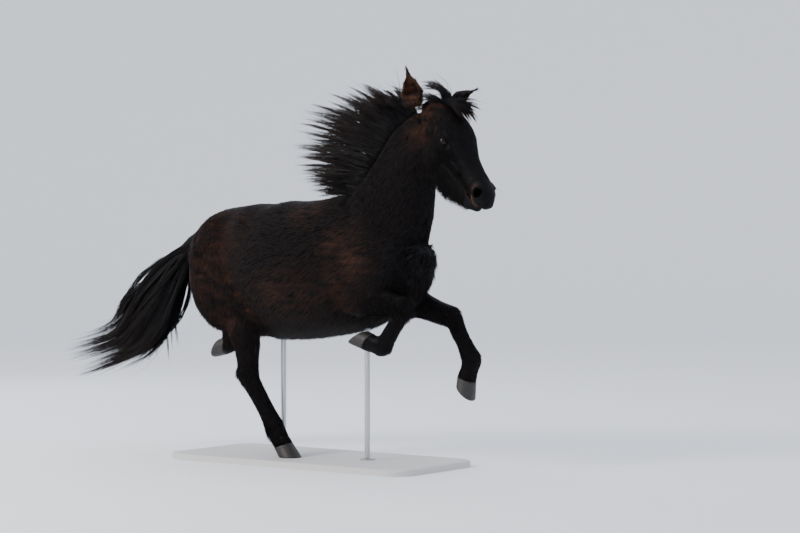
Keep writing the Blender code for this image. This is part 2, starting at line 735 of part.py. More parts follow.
def ear_body(name):
    """A leaf-shaped ear with a hollow cup in its front."""
    place = ear_axes(name)
    across, front = Vector((1, 0, 0)), Vector((0, 1, 0))
    bm = bmesh.new()
    rings = []
    for share, wide, deep in smooth_rows(EAR_SECTIONS, 2):
        centre = Vector((0, -EAR_BOW * math.sin(math.pi * share), share * EAR_LENGTH))
        rings.append(section(centre, front, across, (deep * 0.7, deep, wide), 12, 2.0))
    skin_rings(bm, rings)
    bm.transform(place)
    ear = new_object("ear", bm)
    cup = bmesh.new()
    rings = []
    low, high = EAR_CUP_SHARES
    steps = 6
    for k in range(steps + 1):
        t = k / steps
        share, wide, deep = row_at(EAR_SECTIONS, low + (high - low) * t)
        swell = max(0.25, math.sin(math.pi * (0.10 + 0.80 * t)))
        centre = Vector((0, EAR_CUP_AHEAD, share * EAR_LENGTH))
        half = (0.02, (deep + 0.004) * swell, max(wide - EAR_WALL, 0.003) * swell)
        rings.append(section(centre, front, across, half, 10, 2.0))
    skin_rings(cup, rings)
    cup.transform(place)
    return combined(ear, [new_object("cup", cup)], "DIFFERENCE")


def eye_place(hand):
    """The eye's own place on the head: X along the lids, Y out of the head, Z up across them."""
    x, y, z = EYE_PLACE
    out = Vector((EYE_LOOK[0], EYE_LOOK[1] * hand, EYE_LOOK[2])).normalized()
    along = Vector((1, 0, 0.12))
    along = (along - out * along.dot(out)).normalized()
    up = along.cross(out).normalized() * hand
    turn = Matrix((along, out, up)).transposed().to_4x4()
    return head_place() @ Matrix.Translation((x, y * hand, z)) @ turn


def lid(hand, rise, half_length):
    """A lid: a bent, tapered roll over the eye from one corner to the other."""
    path, sizes = [], []
    steps = 6
    for k in range(steps + 1):
        t = -1 + 2 * k / steps
        across = math.radians(half_length) * t
        up = math.radians(rise) * (1 - t * t)
        level = Vector((math.sin(across), math.cos(across), 0)) * math.cos(up)
        path.append(level + Vector((0, 0, math.sin(up))))
        sizes.append(LID_RADIUS * (0.45 + 0.55 * math.sqrt(1 - t * t)))
    bm = bmesh.new()
    rings = []
    for k, (point, size) in enumerate(zip(path, sizes)):
        along = (path[min(k + 1, steps)] - path[max(k - 1, 0)]).normalized()
        out = (point - along * point.dot(along)).normalized()
        centre = point * (EYE_RADIUS + 0.0005)
        rings.append(section(centre, out, along.cross(out), (size, size, size), 6, 2.0))
    skin_rings(bm, rings)
    bm.transform(eye_place(hand))
    return new_object("lid", bm)


def ball(centre, radii, place, segments=12):
    bm = bmesh.new()
    ellipsoid(bm, centre, radii, segments, place)
    return new_object("ball", bm)


def mouth_groove(head):
    """A roll along the line of the mouth, from one corner round the front to the other."""
    place = head_place()
    tree = BVHTree.FromObject(head, bpy.context.evaluated_depsgraph_get())
    steps = 16
    centre = Vector((MOUTH_CORNER[0], 0, MOUTH_CORNER[1]))
    path = []
    for k in range(steps + 1):
        turn = math.radians(-96 + 192 * k / steps)
        way = Vector((math.cos(turn), math.sin(turn), MOUTH_RISE * math.cos(turn)))
        hit = tree.ray_cast(place @ centre, place.to_3x3() @ way)[0]
        path.append(hit)
    bm = bmesh.new()
    rings = []
    for k, point in enumerate(path):
        along = (path[min(k + 1, steps)] - path[max(k - 1, 0)]).normalized()
        up = place.to_3x3() @ Vector((0, 0, 1))
        up = (up - along * up.dot(along)).normalized()
        size = MOUTH_RADIUS * (0.5 if k in (0, steps) else 1.0)
        rings.append(section(point, along.cross(up), up, (size * 1.6, size * 1.6, size), 6, 2.0))
    skin_rings(bm, rings)
    return new_object("groove", bm)


def head_nodes(rng):
    """The head with its ears, lids, nostrils and mouth, parted from the ears and the neck."""
    bm = bmesh.new()
    head_flesh(bm)
    neck_flesh(bm)
    head = melted("head", bm, 0.0055, 4, 2500)
    place = head_place()
    groove = mouth_groove(head)
    point, normal = HEAD_CUT
    raised = [ear_body(name) for name in EARS]
    raised += [lid(hand, *sizes) for hand in (-1, 1) for sizes in LIDS.values()]
    combined(head, raised + forelock_locks(rng), "UNION", "MANIFOLD")
    cuts = [groove, slab(point, -Vector(normal), CUT_SIZE, CUT_SIZE, (CUT_SIZE - GAP) / 2)]
    for hand in (-1, 1):
        cuts.append(ball((0, 0, 0), [EYE_RADIUS + GAP] * 3, eye_place(hand)))
        x, y, z = NOSTRIL[0]
        cuts.append(ball((x, y * hand, z), NOSTRIL[1], place, 12))
    for name in EARS:
        at = ear_axes(name)
        up = at.to_3x3() @ Vector((0, 0, 1))
        cuts.append(slab(at.translation + up * EAR_LENGTH * EAR_CUT, up, EAR_CUT_HALF, GAP))
    combined(head, cuts, "DIFFERENCE", "MANIFOLD")
    marks = {"head": place @ Vector((0.2, 0, -0.08))}
    for name in EARS:
        marks[name] = ear_axes(name) @ Vector((0, 0, EAR_LENGTH * 0.6))
    nodes = parted(head, marks)
    for hand, side in ((-1, "right"), (1, "left")):
        nodes[f"eye_{side}"] = ball((0, 0, 0), [EYE_RADIUS] * 3, eye_place(hand))
        nodes[f"eye_{side}"].name = f"eye_{side}"
    return nodes


def body_nodes(rng):
    """The trunk, neck, dock and legs, parted, with the mane and tail on theirs."""
    bm = bmesh.new()
    body_flesh(bm)
    neck_flesh(bm)
    head_flesh(bm)
    body = melted("body", bm, 0.010, 6, 4200)
    marks, plates = leg_nodes()
    point, normal = HEAD_CUT
    plates.append(slab(point, normal, CUT_SIZE, CUT_SIZE, (CUT_SIZE - GAP) / 2))
    for point, normal, half in (NECK_CUT, DOCK_CUT):
        plates.append(slab(point, normal, half, GAP))
    combined(body, plates + rod_sockets(), "DIFFERENCE")
    marks["torso"] = (-0.05, 0, 0.92)
    marks["neck"] = (0.52, -0.01, 1.32)
    marks["tail"] = (-0.91, -0.01, 0.95)
    nodes = parted(body, marks)
    largest_only(combined(nodes["neck"], mane_locks(rng), "UNION", "MANIFOLD"))
    largest_only(combined(nodes["tail"], tail_locks(rng), "UNION", "MANIFOLD"))
    return nodes


def hoof(name, leg):
    """A horn hoof: sloping wall, flat rim, hollow sole with its frog, top face to the coronet."""
    slope = math.radians(CORONET_SLOPE)
    sole = Vector((SOLE_AHEAD, 0, -CORONET_HEIGHT))
    flat_x, flat_y = Vector((1, 0, 0)), Vector((0, 1, 0))
    tilted = Vector((math.cos(slope), 0, math.sin(slope)))
    bm = bmesh.new()
    under = sole + Vector((0, 0, SOLE_HOLLOW))
    inner = (SOLE_HALF - SOLE_RIM, SOLE_HALF - SOLE_RIM, SOLE_SIDE - SOLE_RIM)
    hollow = (inner[0] * 0.86, inner[1] * 0.86, inner[2] * 0.86)
    outer = (SOLE_HALF, SOLE_HALF, SOLE_SIDE)
    top = (CORONET_HALF, CORONET_HALF, CORONET_SIDE)
    drop = Vector((math.sin(slope), 0, -math.cos(slope))) * GAP
    rings = [
        section(under, flat_x, flat_y, hollow, 16, 2.2),
        section(sole, flat_x, flat_y, inner, 16, 2.2),
        section(sole, flat_x, flat_y, outer, 16, 2.2),
        section(drop, tilted, flat_y, top, 16, 2.1),
    ]
    skin_rings(bm, rings)
    obj = new_object(name, bm)
    frog = bmesh.new()
    bmesh.ops.create_cone(frog, cap_ends=True, segments=3, radius1=0.026, radius2=0.020, depth=0.012,
                          matrix=Matrix.Translation(under + Vector((-0.012, 0, 0))))
    largest_only(combined(obj, [new_object("frog", frog)], "UNION"))
    obj.matrix_world = hoof_place(leg)
    return obj


def stand_base():
    """A slab with round corners and bevelled edges."""
    bm = bmesh.new()
    size = Matrix.Diagonal((BASE_LENGTH, BASE_WIDTH, BASE_THICKNESS, 1.0))
    bmesh.ops.create_cube(bm, size=1.0, matrix=size)
    upright = [e for e in bm.edges if abs(e.verts[0].co.z - e.verts[1].co.z) > BASE_THICKNESS / 2]
    bmesh.ops.bevel(bm, geom=upright, offset=BASE_CORNER, segments=5, affect="EDGES", profile=0.5)
    bm.normal_update()
    top = max(bm.faces, key=lambda f: f.calc_center_median().z)
    bmesh.ops.bevel(bm, geom=list(top.edges), offset=BASE_BEVEL, segments=1, affect="EDGES", profile=0.5)
    bmesh.ops.triangulate(bm, faces=bm.faces)
    obj = new_object("stand_base", bm)
    obj.location.z = BASE_THICKNESS / 2
    return obj


def stand_rod(name):
    """A turned steel rod with a round foot, its top end sunk in the belly's socket."""
    x, y, belly = RODS[name]
    height = belly + ROD_SUNK
    outline = [(ROD_FOOT_RADIUS, 0), (ROD_FOOT_RADIUS, ROD_FOOT_THICKNESS - 0.002),
               (ROD_FOOT_RADIUS - 0.002, ROD_FOOT_THICKNESS), (ROD_RADIUS + 0.003, ROD_FOOT_THICKNESS),
               (ROD_RADIUS, ROD_FOOT_THICKNESS + 0.003), (ROD_RADIUS, height)]
    bm = bmesh.new()
    ahead, left = Vector((1, 0, 0)), Vector((0, 1, 0))
    skin_rings(bm, [section(Vector((0, 0, z)), ahead, left, (r, r, r), ROD_SIDES, 2.0) for r, z in outline])
    bmesh.ops.triangulate(bm, faces=bm.faces)
    obj = new_object(name, bm)
    obj.location = (x, y, GAP)
    return obj


def finish_of(name, colour, roughness, metallic=0.0):
    """A plain material of one colour."""
    material = bpy.data.materials.new(name)
    material.use_nodes = True
    shader = material.node_tree.nodes["Principled BSDF"]
    shader.inputs["Base Color"].default_value = (*colour, 1.0)
    shader.inputs["Roughness"].default_value = roughness
    shader.inputs["Metallic"].default_value = metallic
    return material


def main():
    for obj in list(bpy.data.objects):
        bpy.data.objects.remove(obj)
    rng = random.Random(SEED)
    coat = finish_of("winter coat", COLOURS["coat"], 0.75)
    hair = finish_of("mane and tail hair", COLOURS["hair"], 0.6)
    wet = finish_of("eye", COLOURS["eye"], 0.08)
    horn = finish_of("hoof horn", COLOURS["hoof"], 0.5)
    steel = finish_of("brushed steel", COLOURS["steel"], 0.35, 1.0)
    paint = finish_of("matt paint", COLOURS["paint"], 0.7)

    horse = bpy.data.objects.new("horse", None)
    bpy.context.scene.collection.objects.link(horse)
    horse.location.z = BASE_THICKNESS
    nodes = {**body_nodes(rng), **head_nodes(rng)}
    for name, leg in LEGS.items():
        kind, hand = name.split("_")
        nodes[f"{kind}_hoof_{hand}"] = hoof(f"{kind}_hoof_{hand}", leg)
    nodes.update({name: stand_rod(name) for name in RODS})
    for name, obj in nodes.items():
        obj.name = name
        obj.parent = horse
        material = coat
        if name.startswith("eye"):
            material = wet
        elif name == "tail":
            material = hair
        elif "hoof" in name:
            material = horn
        elif name.startswith("stand"):
            material = steel
        obj.data.materials.clear()
        obj.data.materials.append(material)
        obj.data.shade_smooth()
        obj.data.set_sharp_from_angle(angle=math.radians(40))
    stand_base().data.materials.append(paint)


main()
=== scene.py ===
# A galloping Icelandic horse in its winter coat, life size, held by a plain display stand.
# Metres. +X is the way the horse goes, +Y its left, +Z up. The horse's own heights are
# measured from the top of the stand's base, and onStand lifts each finished mesh to its place.
import math

import bmesh
import bpy
import numpy as np
from mathutils import Matrix, Vector, noise
from mathutils.bvhtree import BVHTree
from mathutils.kdtree import KDTree


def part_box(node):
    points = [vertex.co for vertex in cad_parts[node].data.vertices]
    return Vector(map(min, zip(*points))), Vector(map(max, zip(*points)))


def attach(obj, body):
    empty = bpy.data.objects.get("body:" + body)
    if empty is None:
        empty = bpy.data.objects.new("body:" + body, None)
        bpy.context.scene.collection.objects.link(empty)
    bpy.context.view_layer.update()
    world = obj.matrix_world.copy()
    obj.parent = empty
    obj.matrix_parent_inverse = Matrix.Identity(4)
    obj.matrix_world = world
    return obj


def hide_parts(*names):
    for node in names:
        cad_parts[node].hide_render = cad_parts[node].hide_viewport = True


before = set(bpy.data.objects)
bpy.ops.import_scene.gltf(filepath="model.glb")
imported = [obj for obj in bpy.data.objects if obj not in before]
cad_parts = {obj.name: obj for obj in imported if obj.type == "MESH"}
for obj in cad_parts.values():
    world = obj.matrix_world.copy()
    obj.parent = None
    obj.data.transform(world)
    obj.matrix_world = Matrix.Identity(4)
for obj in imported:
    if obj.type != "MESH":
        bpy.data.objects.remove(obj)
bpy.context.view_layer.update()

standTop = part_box("stand_base")[1].z
onStand = Matrix.Translation((0, 0, standTop))
scene = bpy.context.scene
acrossAxis = Vector((0, 1, 0))


# Small tools

def fromHex(code):
    parts = [int(code[k:k + 2], 16) / 255 for k in (1, 3, 5)]
    return (*[c / 12.92 if c <= 0.04045 else ((c + 0.055) / 1.055) ** 2.4 for c in parts], 1.0)


def addNode(tree, kind, inputs=None, **settings):
    node = tree.nodes.new(kind)
    for name, value in settings.items():
        setattr(node, name, value)
    for name, value in (inputs or {}).items():
        if isinstance(value, bpy.types.NodeSocket):
            tree.links.new(value, node.inputs[name])
        else:
            node.inputs[name].default_value = value
    return node


def newFinish(name, **values):
    # a material with only its Principled shader, whose fixed values are set on its own sockets
    material = bpy.data.materials.new(name)
    material.use_nodes = True
    shader = material.node_tree.nodes["Principled BSDF"]
    for key, value in values.items():
        shader.inputs[key.replace("_", " ")].default_value = value
    return material, material.node_tree, shader


def ease(low, high, value):
    share = np.clip((value - low) / (high - low), 0.0, 1.0)
    return share * share * (3 - 2 * share)


def smoothRows(rows, steps):
    # Catmull-Rom rows between the given ones
    fine = []
    last = len(rows) - 1
    for i in range(last):
        a, b, c, d = rows[max(i - 1, 0)], rows[i], rows[i + 1], rows[min(i + 2, last)]
        for k in range(steps):
            t = k / steps
            fine.append([
                0.5 * (2 * q + (r - p) * t + (2 * p - 5 * q + 4 * r - s) * t * t
                       + (3 * q - p - 3 * r + s) * t ** 3)
                for p, q, r, s in zip(a, b, c, d)
            ])
    fine.append(list(rows[-1]))
    return fine


def rowAt(rows, share, steps=12):
    fine = smoothRows(rows, steps)
    return fine[round(max(0.0, min(1.0, share)) * (len(fine) - 1))]


def addTo(bm, part, place=Matrix()):
    # moves one bmesh into another
    part.transform(place)
    mesh = bpy.data.meshes.new("part")
    part.to_mesh(mesh)
    part.free()
    bm.from_mesh(mesh)
    bpy.data.meshes.remove(mesh)


def addRing(bm, points):
    # a ring of edges through the points
    verts = bmesh.ops.create_circle(bm, segments=len(points), radius=1.0)["verts"]
    for vert, point in zip(verts, points):
        vert.co = point
    return list({edge for vert in verts for edge in vert.link_edges})


def addRings(bm, rings, place=Matrix()):
    # a closed body bridged from ring to ring, with both ends filled
    part = bmesh.new()
    loops = [addRing(part, points) for points in rings]
    for one, two in zip(loops, loops[1:]):
        bmesh.ops.bridge_loops(part, edges=one + two)
    bmesh.ops.edgeloop_fill(part, edges=loops[0])
    bmesh.ops.edgeloop_fill(part, edges=loops[-1])
    bmesh.ops.recalc_face_normals(part, faces=part.faces)
    addTo(bm, part, place)


# Rounded ends of a loft: how far they stand out, as a share of the smallest half size, and the
# angles of their rings
domeEnd = {"reach": 0.8, "angles": (35, 65)}


def ovalSection(centre, front, side, half, sides, square):
    fore, aft, wide = half
    points = []
    for k in range(sides):
        turn = 2 * math.pi * k / sides
        c = math.copysign(abs(math.cos(turn)) ** (2 / square), math.cos(turn))
        s = math.copysign(abs(math.sin(turn)) ** (2 / square), math.sin(turn))
        points.append(centre + front * c * (fore if c > 0 else aft) + side * s * wide)
    return points


def addLoft(bm, rows, sides=32, steps=4, square=2.2, place=Matrix()):
    # rows: centre x, y, z, then the half sizes to the front, the back and the side; domed ends
    fine = smoothRows(rows, steps)
    centres = [Vector(row[:3]) for row in fine]
    last = len(fine) - 1
    frames = []
    for i, row in enumerate(fine):
        along = (centres[min(i + 1, last)] - centres[max(i - 1, 0)]).normalized()
        front = along.cross(acrossAxis).normalized()
        frames.append((centres[i], along, front, front.cross(along).normalized(), row[3:6]))

    def dome(end, sign):
        centre, along, front, side, half = end
        reach = min(half) * domeEnd["reach"]
        return [
            (centre + along * sign * reach * math.sin(a), along, front, side, [h * math.cos(a) for h in half])
            for a in map(math.radians, domeEnd["angles"])
        ]

    frames = dome(frames[0], -1)[::-1] + frames + dome(frames[-1], 1)
    rings = [ovalSection(c, front, side, half, sides, square) for c, _, front, side, half in frames]
    addRings(bm, rings, place)


def addBall(bm, centre, radii, place=Matrix(), segments=32):
    at = place @ Matrix.Translation(Vector(centre)) @ Matrix.Diagonal((*radii, 1.0))
    bmesh.ops.create_uvsphere(bm, u_segments=segments, v_segments=segments // 2, radius=1.0, matrix=at)


def asMesh(name, bm):
    mesh = bpy.data.meshes.new(name)
    bm.to_mesh(mesh)
    bm.free()
    return mesh


def newObject(name, data):
    made = bpy.data.objects.new(name, data)
    scene.collection.objects.link(made)
    return made


def evaluatedMesh(piece):
    # the piece's mesh as its modifiers leave it
    bpy.context.view_layer.update()
    return bpy.data.meshes.new_from_object(piece.evaluated_get(bpy.context.evaluated_depsgraph_get()))


def asPiece(mesh, finish, replaced=()):
    # a finished mesh becomes a piece of the model, riding on its one body
    mesh.transform(onStand)
    mesh.materials.append(finish)
    mesh.shade_smooth()
    piece = newObject(mesh.name, mesh)
    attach(piece, "root")
    if replaced:
        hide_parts(*replaced)
    return piece


def readRows(items, name, width, kind=np.float32):
    # one row of values to each of a mesh's items
    flat = np.empty(len(items) * width, kind)
    items.foreach_get(name, flat)
    return flat.reshape(-1, width)


def pointsOf(mesh):
    return readRows(mesh.vertices, "co", 3).astype(float)


def normalsOf(mesh):
    return readRows(mesh.vertex_normals, "vector", 3).astype(float)


def trianglesOf(mesh, what="vertices"):
    mesh.calc_loop_triangles()
    return readRows(mesh.loop_triangles, what, 3, np.int32)


def setPoints(mesh, points):
    mesh.vertices.foreach_set("co", points.astype(np.float32).ravel())
    mesh.update()


def storeColour(mesh, name, values):
    # values: one row of red, green and blue to a vertex
    rgba = np.ones((len(values), 4), np.float32)
    rgba[:, :3] = values
    mesh.attributes.new(name, "FLOAT_COLOR", "POINT").data.foreach_set("color", rgba.ravel())


def unit(vectors):
    return vectors / np.maximum(np.linalg.norm(vectors, axis=-1, keepdims=True), 1e-9)


def placed(points, place):
    # the points after a place's turn and shift
    moved = np.array(place)
    return points @ moved[:3, :3].T + moved[:3, 3]


def relax(bm, verts, rounds):
    for _ in range(rounds):
        bmesh.ops.smooth_vert(bm, verts=verts, factor=0.5,
                              use_axis_x=True, use_axis_y=True, use_axis_z=True)


def wobble(points, scale, seed):
    # smooth noise at each point, between about -1 and 1
    shift = Vector((seed * 7.3, seed * 3.1, seed * 5.7))
    return np.array([noise.noise(Vector(p) * scale + shift) for p in points])


# The horse's flesh: the same named places and sizes as the solids

legs = {
    "hind_right": {
        "hip": (-0.54, -0.125, 1.04), "stifle": (-0.335, -0.155, 0.735), "hock": (-0.335, -0.135, 0.385),
        "fetlock": (-0.172, -0.13, 0.150), "coronet": (-0.112, -0.13, 0.0533), "pitch": 0.0, "ham": 1.0,
    },
    "hind_left": {
        "hip": (-0.54, 0.125, 1.04), "stifle": (-0.450, 0.155, 0.710), "hock": (-0.780, 0.13, 0.840),
        "fetlock": (-0.664, 0.125, 0.588), "coronet": (-0.690, 0.125, 0.518), "pitch": 116.0, "ham": 0.62,
    },
    "fore_right": {
        "shoulder": (0.535, -0.13, 0.93), "elbow": (0.33, -0.155, 0.80), "knee": (0.625, -0.14, 0.744),
        "fetlock": (0.494, -0.135, 0.553), "coronet": (0.412, -0.135, 0.575), "pitch": 147.0,
    },
    "fore_left": {
        "shoulder": (0.535, 0.13, 0.93), "elbow": (0.37, 0.155, 0.80), "knee": (0.704, 0.135, 0.695),
        "fetlock": (0.822, 0.13, 0.495), "coronet": (0.791, 0.13, 0.402), "pitch": 43.0,
    },
}
# Half sizes along each bone: share of its length, then to the front, the back and the side
bones = {
    "thigh": [(0.0, 0.17, 0.19, 0.115), (0.3, 0.19, 0.250, 0.125), (0.6, 0.16, 0.270, 0.115),
              (0.85, 0.125, 0.245, 0.100), (1.0, 0.10, 0.20, 0.088)],
    "gaskin": [(0.0, 0.10, 0.200, 0.085), (0.2, 0.092, 0.160, 0.076), (0.45, 0.082, 0.100, 0.062),
               (0.75, 0.068, 0.066, 0.049), (1.0, 0.066, 0.064, 0.047)],
    "hindCannon": [(0.0, 0.064, 0.062, 0.046), (0.2, 0.055, 0.052, 0.040), (0.5, 0.050, 0.048, 0.036),
                   (0.8, 0.049, 0.050, 0.038), (1.0, 0.052, 0.056, 0.044)],
    "shoulderBlade": [(0.0, 0.09, 0.12, 0.045), (0.5, 0.12, 0.14, 0.065), (1.0, 0.082, 0.10, 0.066)],
    "upperArm": [(0.0, 0.078, 0.09, 0.064), (0.5, 0.10, 0.12, 0.074), (1.0, 0.085, 0.11, 0.066)],
    "forearm": [(0.0, 0.098, 0.094, 0.064), (0.25, 0.086, 0.090, 0.061), (0.5, 0.068, 0.074, 0.053),
                (0.75, 0.058, 0.062, 0.047), (1.0, 0.060, 0.054, 0.048)],
    "foreCannon": [(0.0, 0.054, 0.050, 0.045), (0.3, 0.043, 0.047, 0.036), (0.7, 0.042, 0.047, 0.036),
                   (1.0, 0.052, 0.054, 0.045)],
    "pastern": [(0.0, 0.050, 0.058, 0.045), (0.5, 0.046, 0.050, 0.044), (1.0, 0.049, 0.050, 0.049)],
}
heel = {"back": 0.046, "up": 0.036, "radius": 0.027, "start": 0.55}
shoulderTop = (0.27, 0.5, 1.17)  # x, share of the shoulder's y, z
# Distance along X, top, bottom, height of the widest line, half width
trunk = [
    (0.62, 1.06, 0.90, 0.97, 0.10), (0.57, 1.15, 0.82, 0.96, 0.165), (0.48, 1.22, 0.74, 0.94, 0.20),
    (0.36, 1.27, 0.67, 0.92, 0.215), (0.24, 1.285, 0.628, 0.90, 0.235), (0.10, 1.265, 0.602, 0.88, 0.275),
    (-0.05, 1.255, 0.583, 0.87, 0.30), (-0.20, 1.262, 0.580, 0.88, 0.305), (-0.33, 1.278, 0.60, 0.92, 0.285),
    (-0.45, 1.272, 0.67, 0.98, 0.26), (-0.56, 1.226, 0.76, 1.02, 0.228), (-0.66, 1.147, 0.82, 1.01, 0.172),
    (-0.735, 1.075, 0.88, 0.98, 0.105),
]
# From the poll down: centre x, y, z, half size to the throat, to the crest and to the side
neck = [
    (0.71, -0.04, 1.585, 0.10, 0.120, 0.066), (0.650, -0.035, 1.49, 0.125, 0.175, 0.080),
    (0.575, -0.02, 1.36, 0.142, 0.210, 0.100), (0.50, -0.01, 1.22, 0.190, 0.240, 0.138),
    (0.40, 0.0, 1.08, 0.245, 0.25, 0.175),
]
dock = {
    "line": [(-0.700, 0.0, 1.080), (-0.800, 0.0, 1.045), (-0.880, -0.004, 0.985), (-0.945, -0.012, 0.900),
             (-0.990, -0.024, 0.815)],
    "radii": (0.056, 0.048, 0.038, 0.027, 0.018),
}
head = {
    # the face line's slope down and its turn to the right, in degrees
    "poll": (0.770, -0.045, 1.700), "slope": 51.0, "turn": 9.0,
    # along the face line: distance, upper edge, lower edge, height of the widest line, half width
    "skull": [
        (-0.035, -0.035, -0.12, -0.075, 0.045), (0.01, 0.006, -0.15, -0.07, 0.072),
        (0.07, 0.032, -0.17, -0.055, 0.090), (0.13, 0.043, -0.17, -0.045, 0.100),
        (0.19, 0.041, -0.17, -0.040, 0.103), (0.25, 0.024, -0.16, -0.042, 0.087),
        (0.32, 0.000, -0.145, -0.052, 0.066), (0.40, -0.007, -0.13, -0.062, 0.054),
        (0.465, -0.009, -0.12, -0.066, 0.055), (0.520, -0.024, -0.118, -0.072, 0.052),
        (0.556, -0.056, -0.112, -0.086, 0.036),
    ],
    "jaw": [
        (0.055, -0.10, -0.19, -0.15, 0.052), (0.10, -0.08, -0.245, -0.17, 0.066),
        (0.165, -0.08, -0.266, -0.16, 0.073), (0.24, -0.08, -0.272, -0.155, 0.067),
        (0.315, -0.08, -0.258, -0.145, 0.056), (0.38, -0.09, -0.226, -0.140, 0.047),
        (0.44, -0.10, -0.198, -0.140, 0.042), (0.495, -0.105, -0.180, -0.142, 0.037),
        (0.528, -0.115, -0.160, -0.138, 0.028),
    ],
    # rounded masses made on both sides: centre, radii
    "masses": [
        ((0.196, 0.085, -0.017), (0.042, 0.022, 0.018)), ((0.175, 0.051, -0.168), (0.088, 0.035, 0.080)),
        ((0.285, 0.060, -0.080), (0.078, 0.015, 0.013)), ((0.480, 0.043, -0.052), (0.038, 0.021, 0.031)),
        ((0.512, 0.022, -0.096), (0.042, 0.030, 0.027)), ((0.480, 0.012, -0.166), (0.034, 0.026, 0.020)),
    ],
}
skinSizes = {
    "bodyVoxel": 0.0105, "bodyRounds": 6, "headVoxel": 0.0048, "headRounds": 5,
    "seamPoint": (0.535, -0.01, 1.30), "seamNormal": (0.472, 0.0, 0.881), "seamGap": 0.004, "belt": 0.03,
    "beltRounds": 4, "refinedRounds": 2,
}
# Furrows and ridges of the muscles: a path on one side, how far it lies further back on the left,
# its width and its depth (a ridge has a negative depth)
relief = [
    ([(-0.40, 0.26, 1.08), (-0.37, 0.29, 0.94), (-0.28, 0.29, 0.79), (-0.17, 0.27, 0.64)],
     0.07, 0.028, 0.015),
    ([(-0.47, 0.25, 1.06), (-0.44, 0.28, 0.92), (-0.36, 0.28, 0.77), (-0.28, 0.24, 0.66)],
     0.07, 0.040, -0.011),
    ([(0.27, 0.24, 1.06), (0.31, 0.26, 0.94), (0.30, 0.26, 0.84), (0.32, 0.24, 0.73)],
     -0.02, 0.026, 0.012),
    ([(0.35, 0.24, 1.04), (0.385, 0.25, 0.94), (0.37, 0.24, 0.84)], -0.02, 0.035, -0.009),
    ([(0.38, 0.13, 1.24), (0.49, 0.17, 1.08), (0.55, 0.16, 0.96)], 0.0, 0.028, 0.009),
    ([(0.70, 0.075, 1.45), (0.645, 0.12, 1.28), (0.60, 0.13, 1.12)], 0.0, 0.020, 0.006),
    ([(-0.64, 0.15, 1.12), (-0.62, 0.18, 0.98), (-0.55, 0.19, 0.83), (-0.47, 0.16, 0.72)],
     0.05, 0.022, 0.007),
    ([(0.64, 0.0, 1.06), (0.63, 0.0, 0.95), (0.57, 0.0, 0.83)], 0.0, 0.022, 0.012),
    ([(-0.34, 0.20, 1.17), (-0.31, 0.22, 1.12)], 0.0, 0.045, -0.009),
]


def headPlace():
    turn = Matrix.Rotation(math.radians(-head["turn"]), 4, "Z")
    slope = Matrix.Rotation(math.radians(head["slope"]), 4, "Y")
    return Matrix.Translation(Vector(head["poll"])) @ (turn @ slope)


def addBone(bm, kind, start, end, full=1.0):
    a, b = Vector(start), Vector(end)
    addLoft(bm, [[*a.lerp(b, share), fore, aft * full, side] for share, fore, aft, side in bones[kind]], 28)


def addHeel(bm, leg):
    # the cord from the gaskin's back down to the point of the hock
    stifle, hock, fetlock = (Vector(leg[joint]) for joint in ("stifle", "hock", "fetlock"))
    along = (fetlock - hock).normalized()
    point = hock - along.cross(acrossAxis).normalized() * heel["back"] - along * heel["up"]
    start = stifle.lerp(hock, heel["start"])
    radius = heel["radius"]
    addLoft(bm, [[*start.lerp(point, share), radius, radius, radius] for share in (0.0, 0.5, 1.0)], 16)


def addLimb(bm, leg):
    if "hip" in leg:
        addHeel(bm, leg)
        chain = [("thigh", "hip", "stifle"), ("gaskin", "stifle", "hock"), ("hindCannon", "hock", "fetlock")]
    else:
        x, share, z = shoulderTop
        addBone(bm, "shoulderBlade", (x, leg["shoulder"][1] * share, z), leg["shoulder"])
        chain = [("upperArm", "shoulder", "elbow"), ("forearm", "elbow", "knee"),
                 ("foreCannon", "knee", "fetlock")]
    for kind, start, end in [*chain, ("pastern", "fetlock", "coronet")]:
        addBone(bm, kind, leg[start], leg[end], leg["ham"] if kind == "thigh" else 1.0)


def addHead(bm):
    for rows in (head["skull"], head["jaw"]):
        addLoft(bm, [[x, 0.0, mid, top - mid, mid - low, half] for x, top, low, mid, half in rows], 40,
                place=headPlace())
    for (x, y, z), radii in head["masses"]:
        for hand in (-1, 1):
            addBall(bm, (x, y * hand, z), radii, headPlace())


def addBody(bm):
    addLoft(bm, [[x, 0.0, mid, mid - low, top - mid, half] for x, top, low, mid, half in trunk], 48)
    dockRows = [[*centre, radius, radius, radius] for centre, radius in zip(dock["line"], dock["radii"])]
    addLoft(bm, dockRows, 20)
    for leg in legs.values():
        addLimb(bm, leg)


def melted(bm, voxel, rounds):
    # overlapping bodies become one smooth skin of even quads
    piece = newObject("melt", asMesh("melt", bm))
    melt = piece.modifiers.new("melt", "REMESH")
    melt.mode = "VOXEL"
    melt.voxel_size = voxel
    smooth = piece.modifiers.new("smooth", "SMOOTH")
    smooth.factor = 0.5
    smooth.iterations = rounds
    mesh = evaluatedMesh(piece)
    old = piece.data
    bpy.data.objects.remove(piece)
    bpy.data.meshes.remove(old)
    out = bmesh.new()
    out.from_mesh(mesh)
    bpy.data.meshes.remove(mesh)
    return out


def cutByPlane(bm, point, normal, keepAhead):
    # takes away one side of a plane
    bmesh.ops.bisect_plane(bm, geom=[*bm.verts, *bm.edges, *bm.faces], plane_co=point, plane_no=normal,
                           clear_inner=keepAhead, clear_outer=not keepAhead)


def farFromRun(points, a, b):
    # how far each point is from the straight run between two others
    along = b - a
    t = np.clip(((points - a) @ along) / (along @ along), 0.0, 1.0)
    return np.linalg.norm(points - (a + t[:, None] * along), axis=1)


def farFrom(points, path):
    # how far each point is from a path of straight runs
    runs = zip(np.array(path[:-1]), np.array(path[1:]))
    return np.min([farFromRun(points, a, b) for a, b in runs], axis=0)


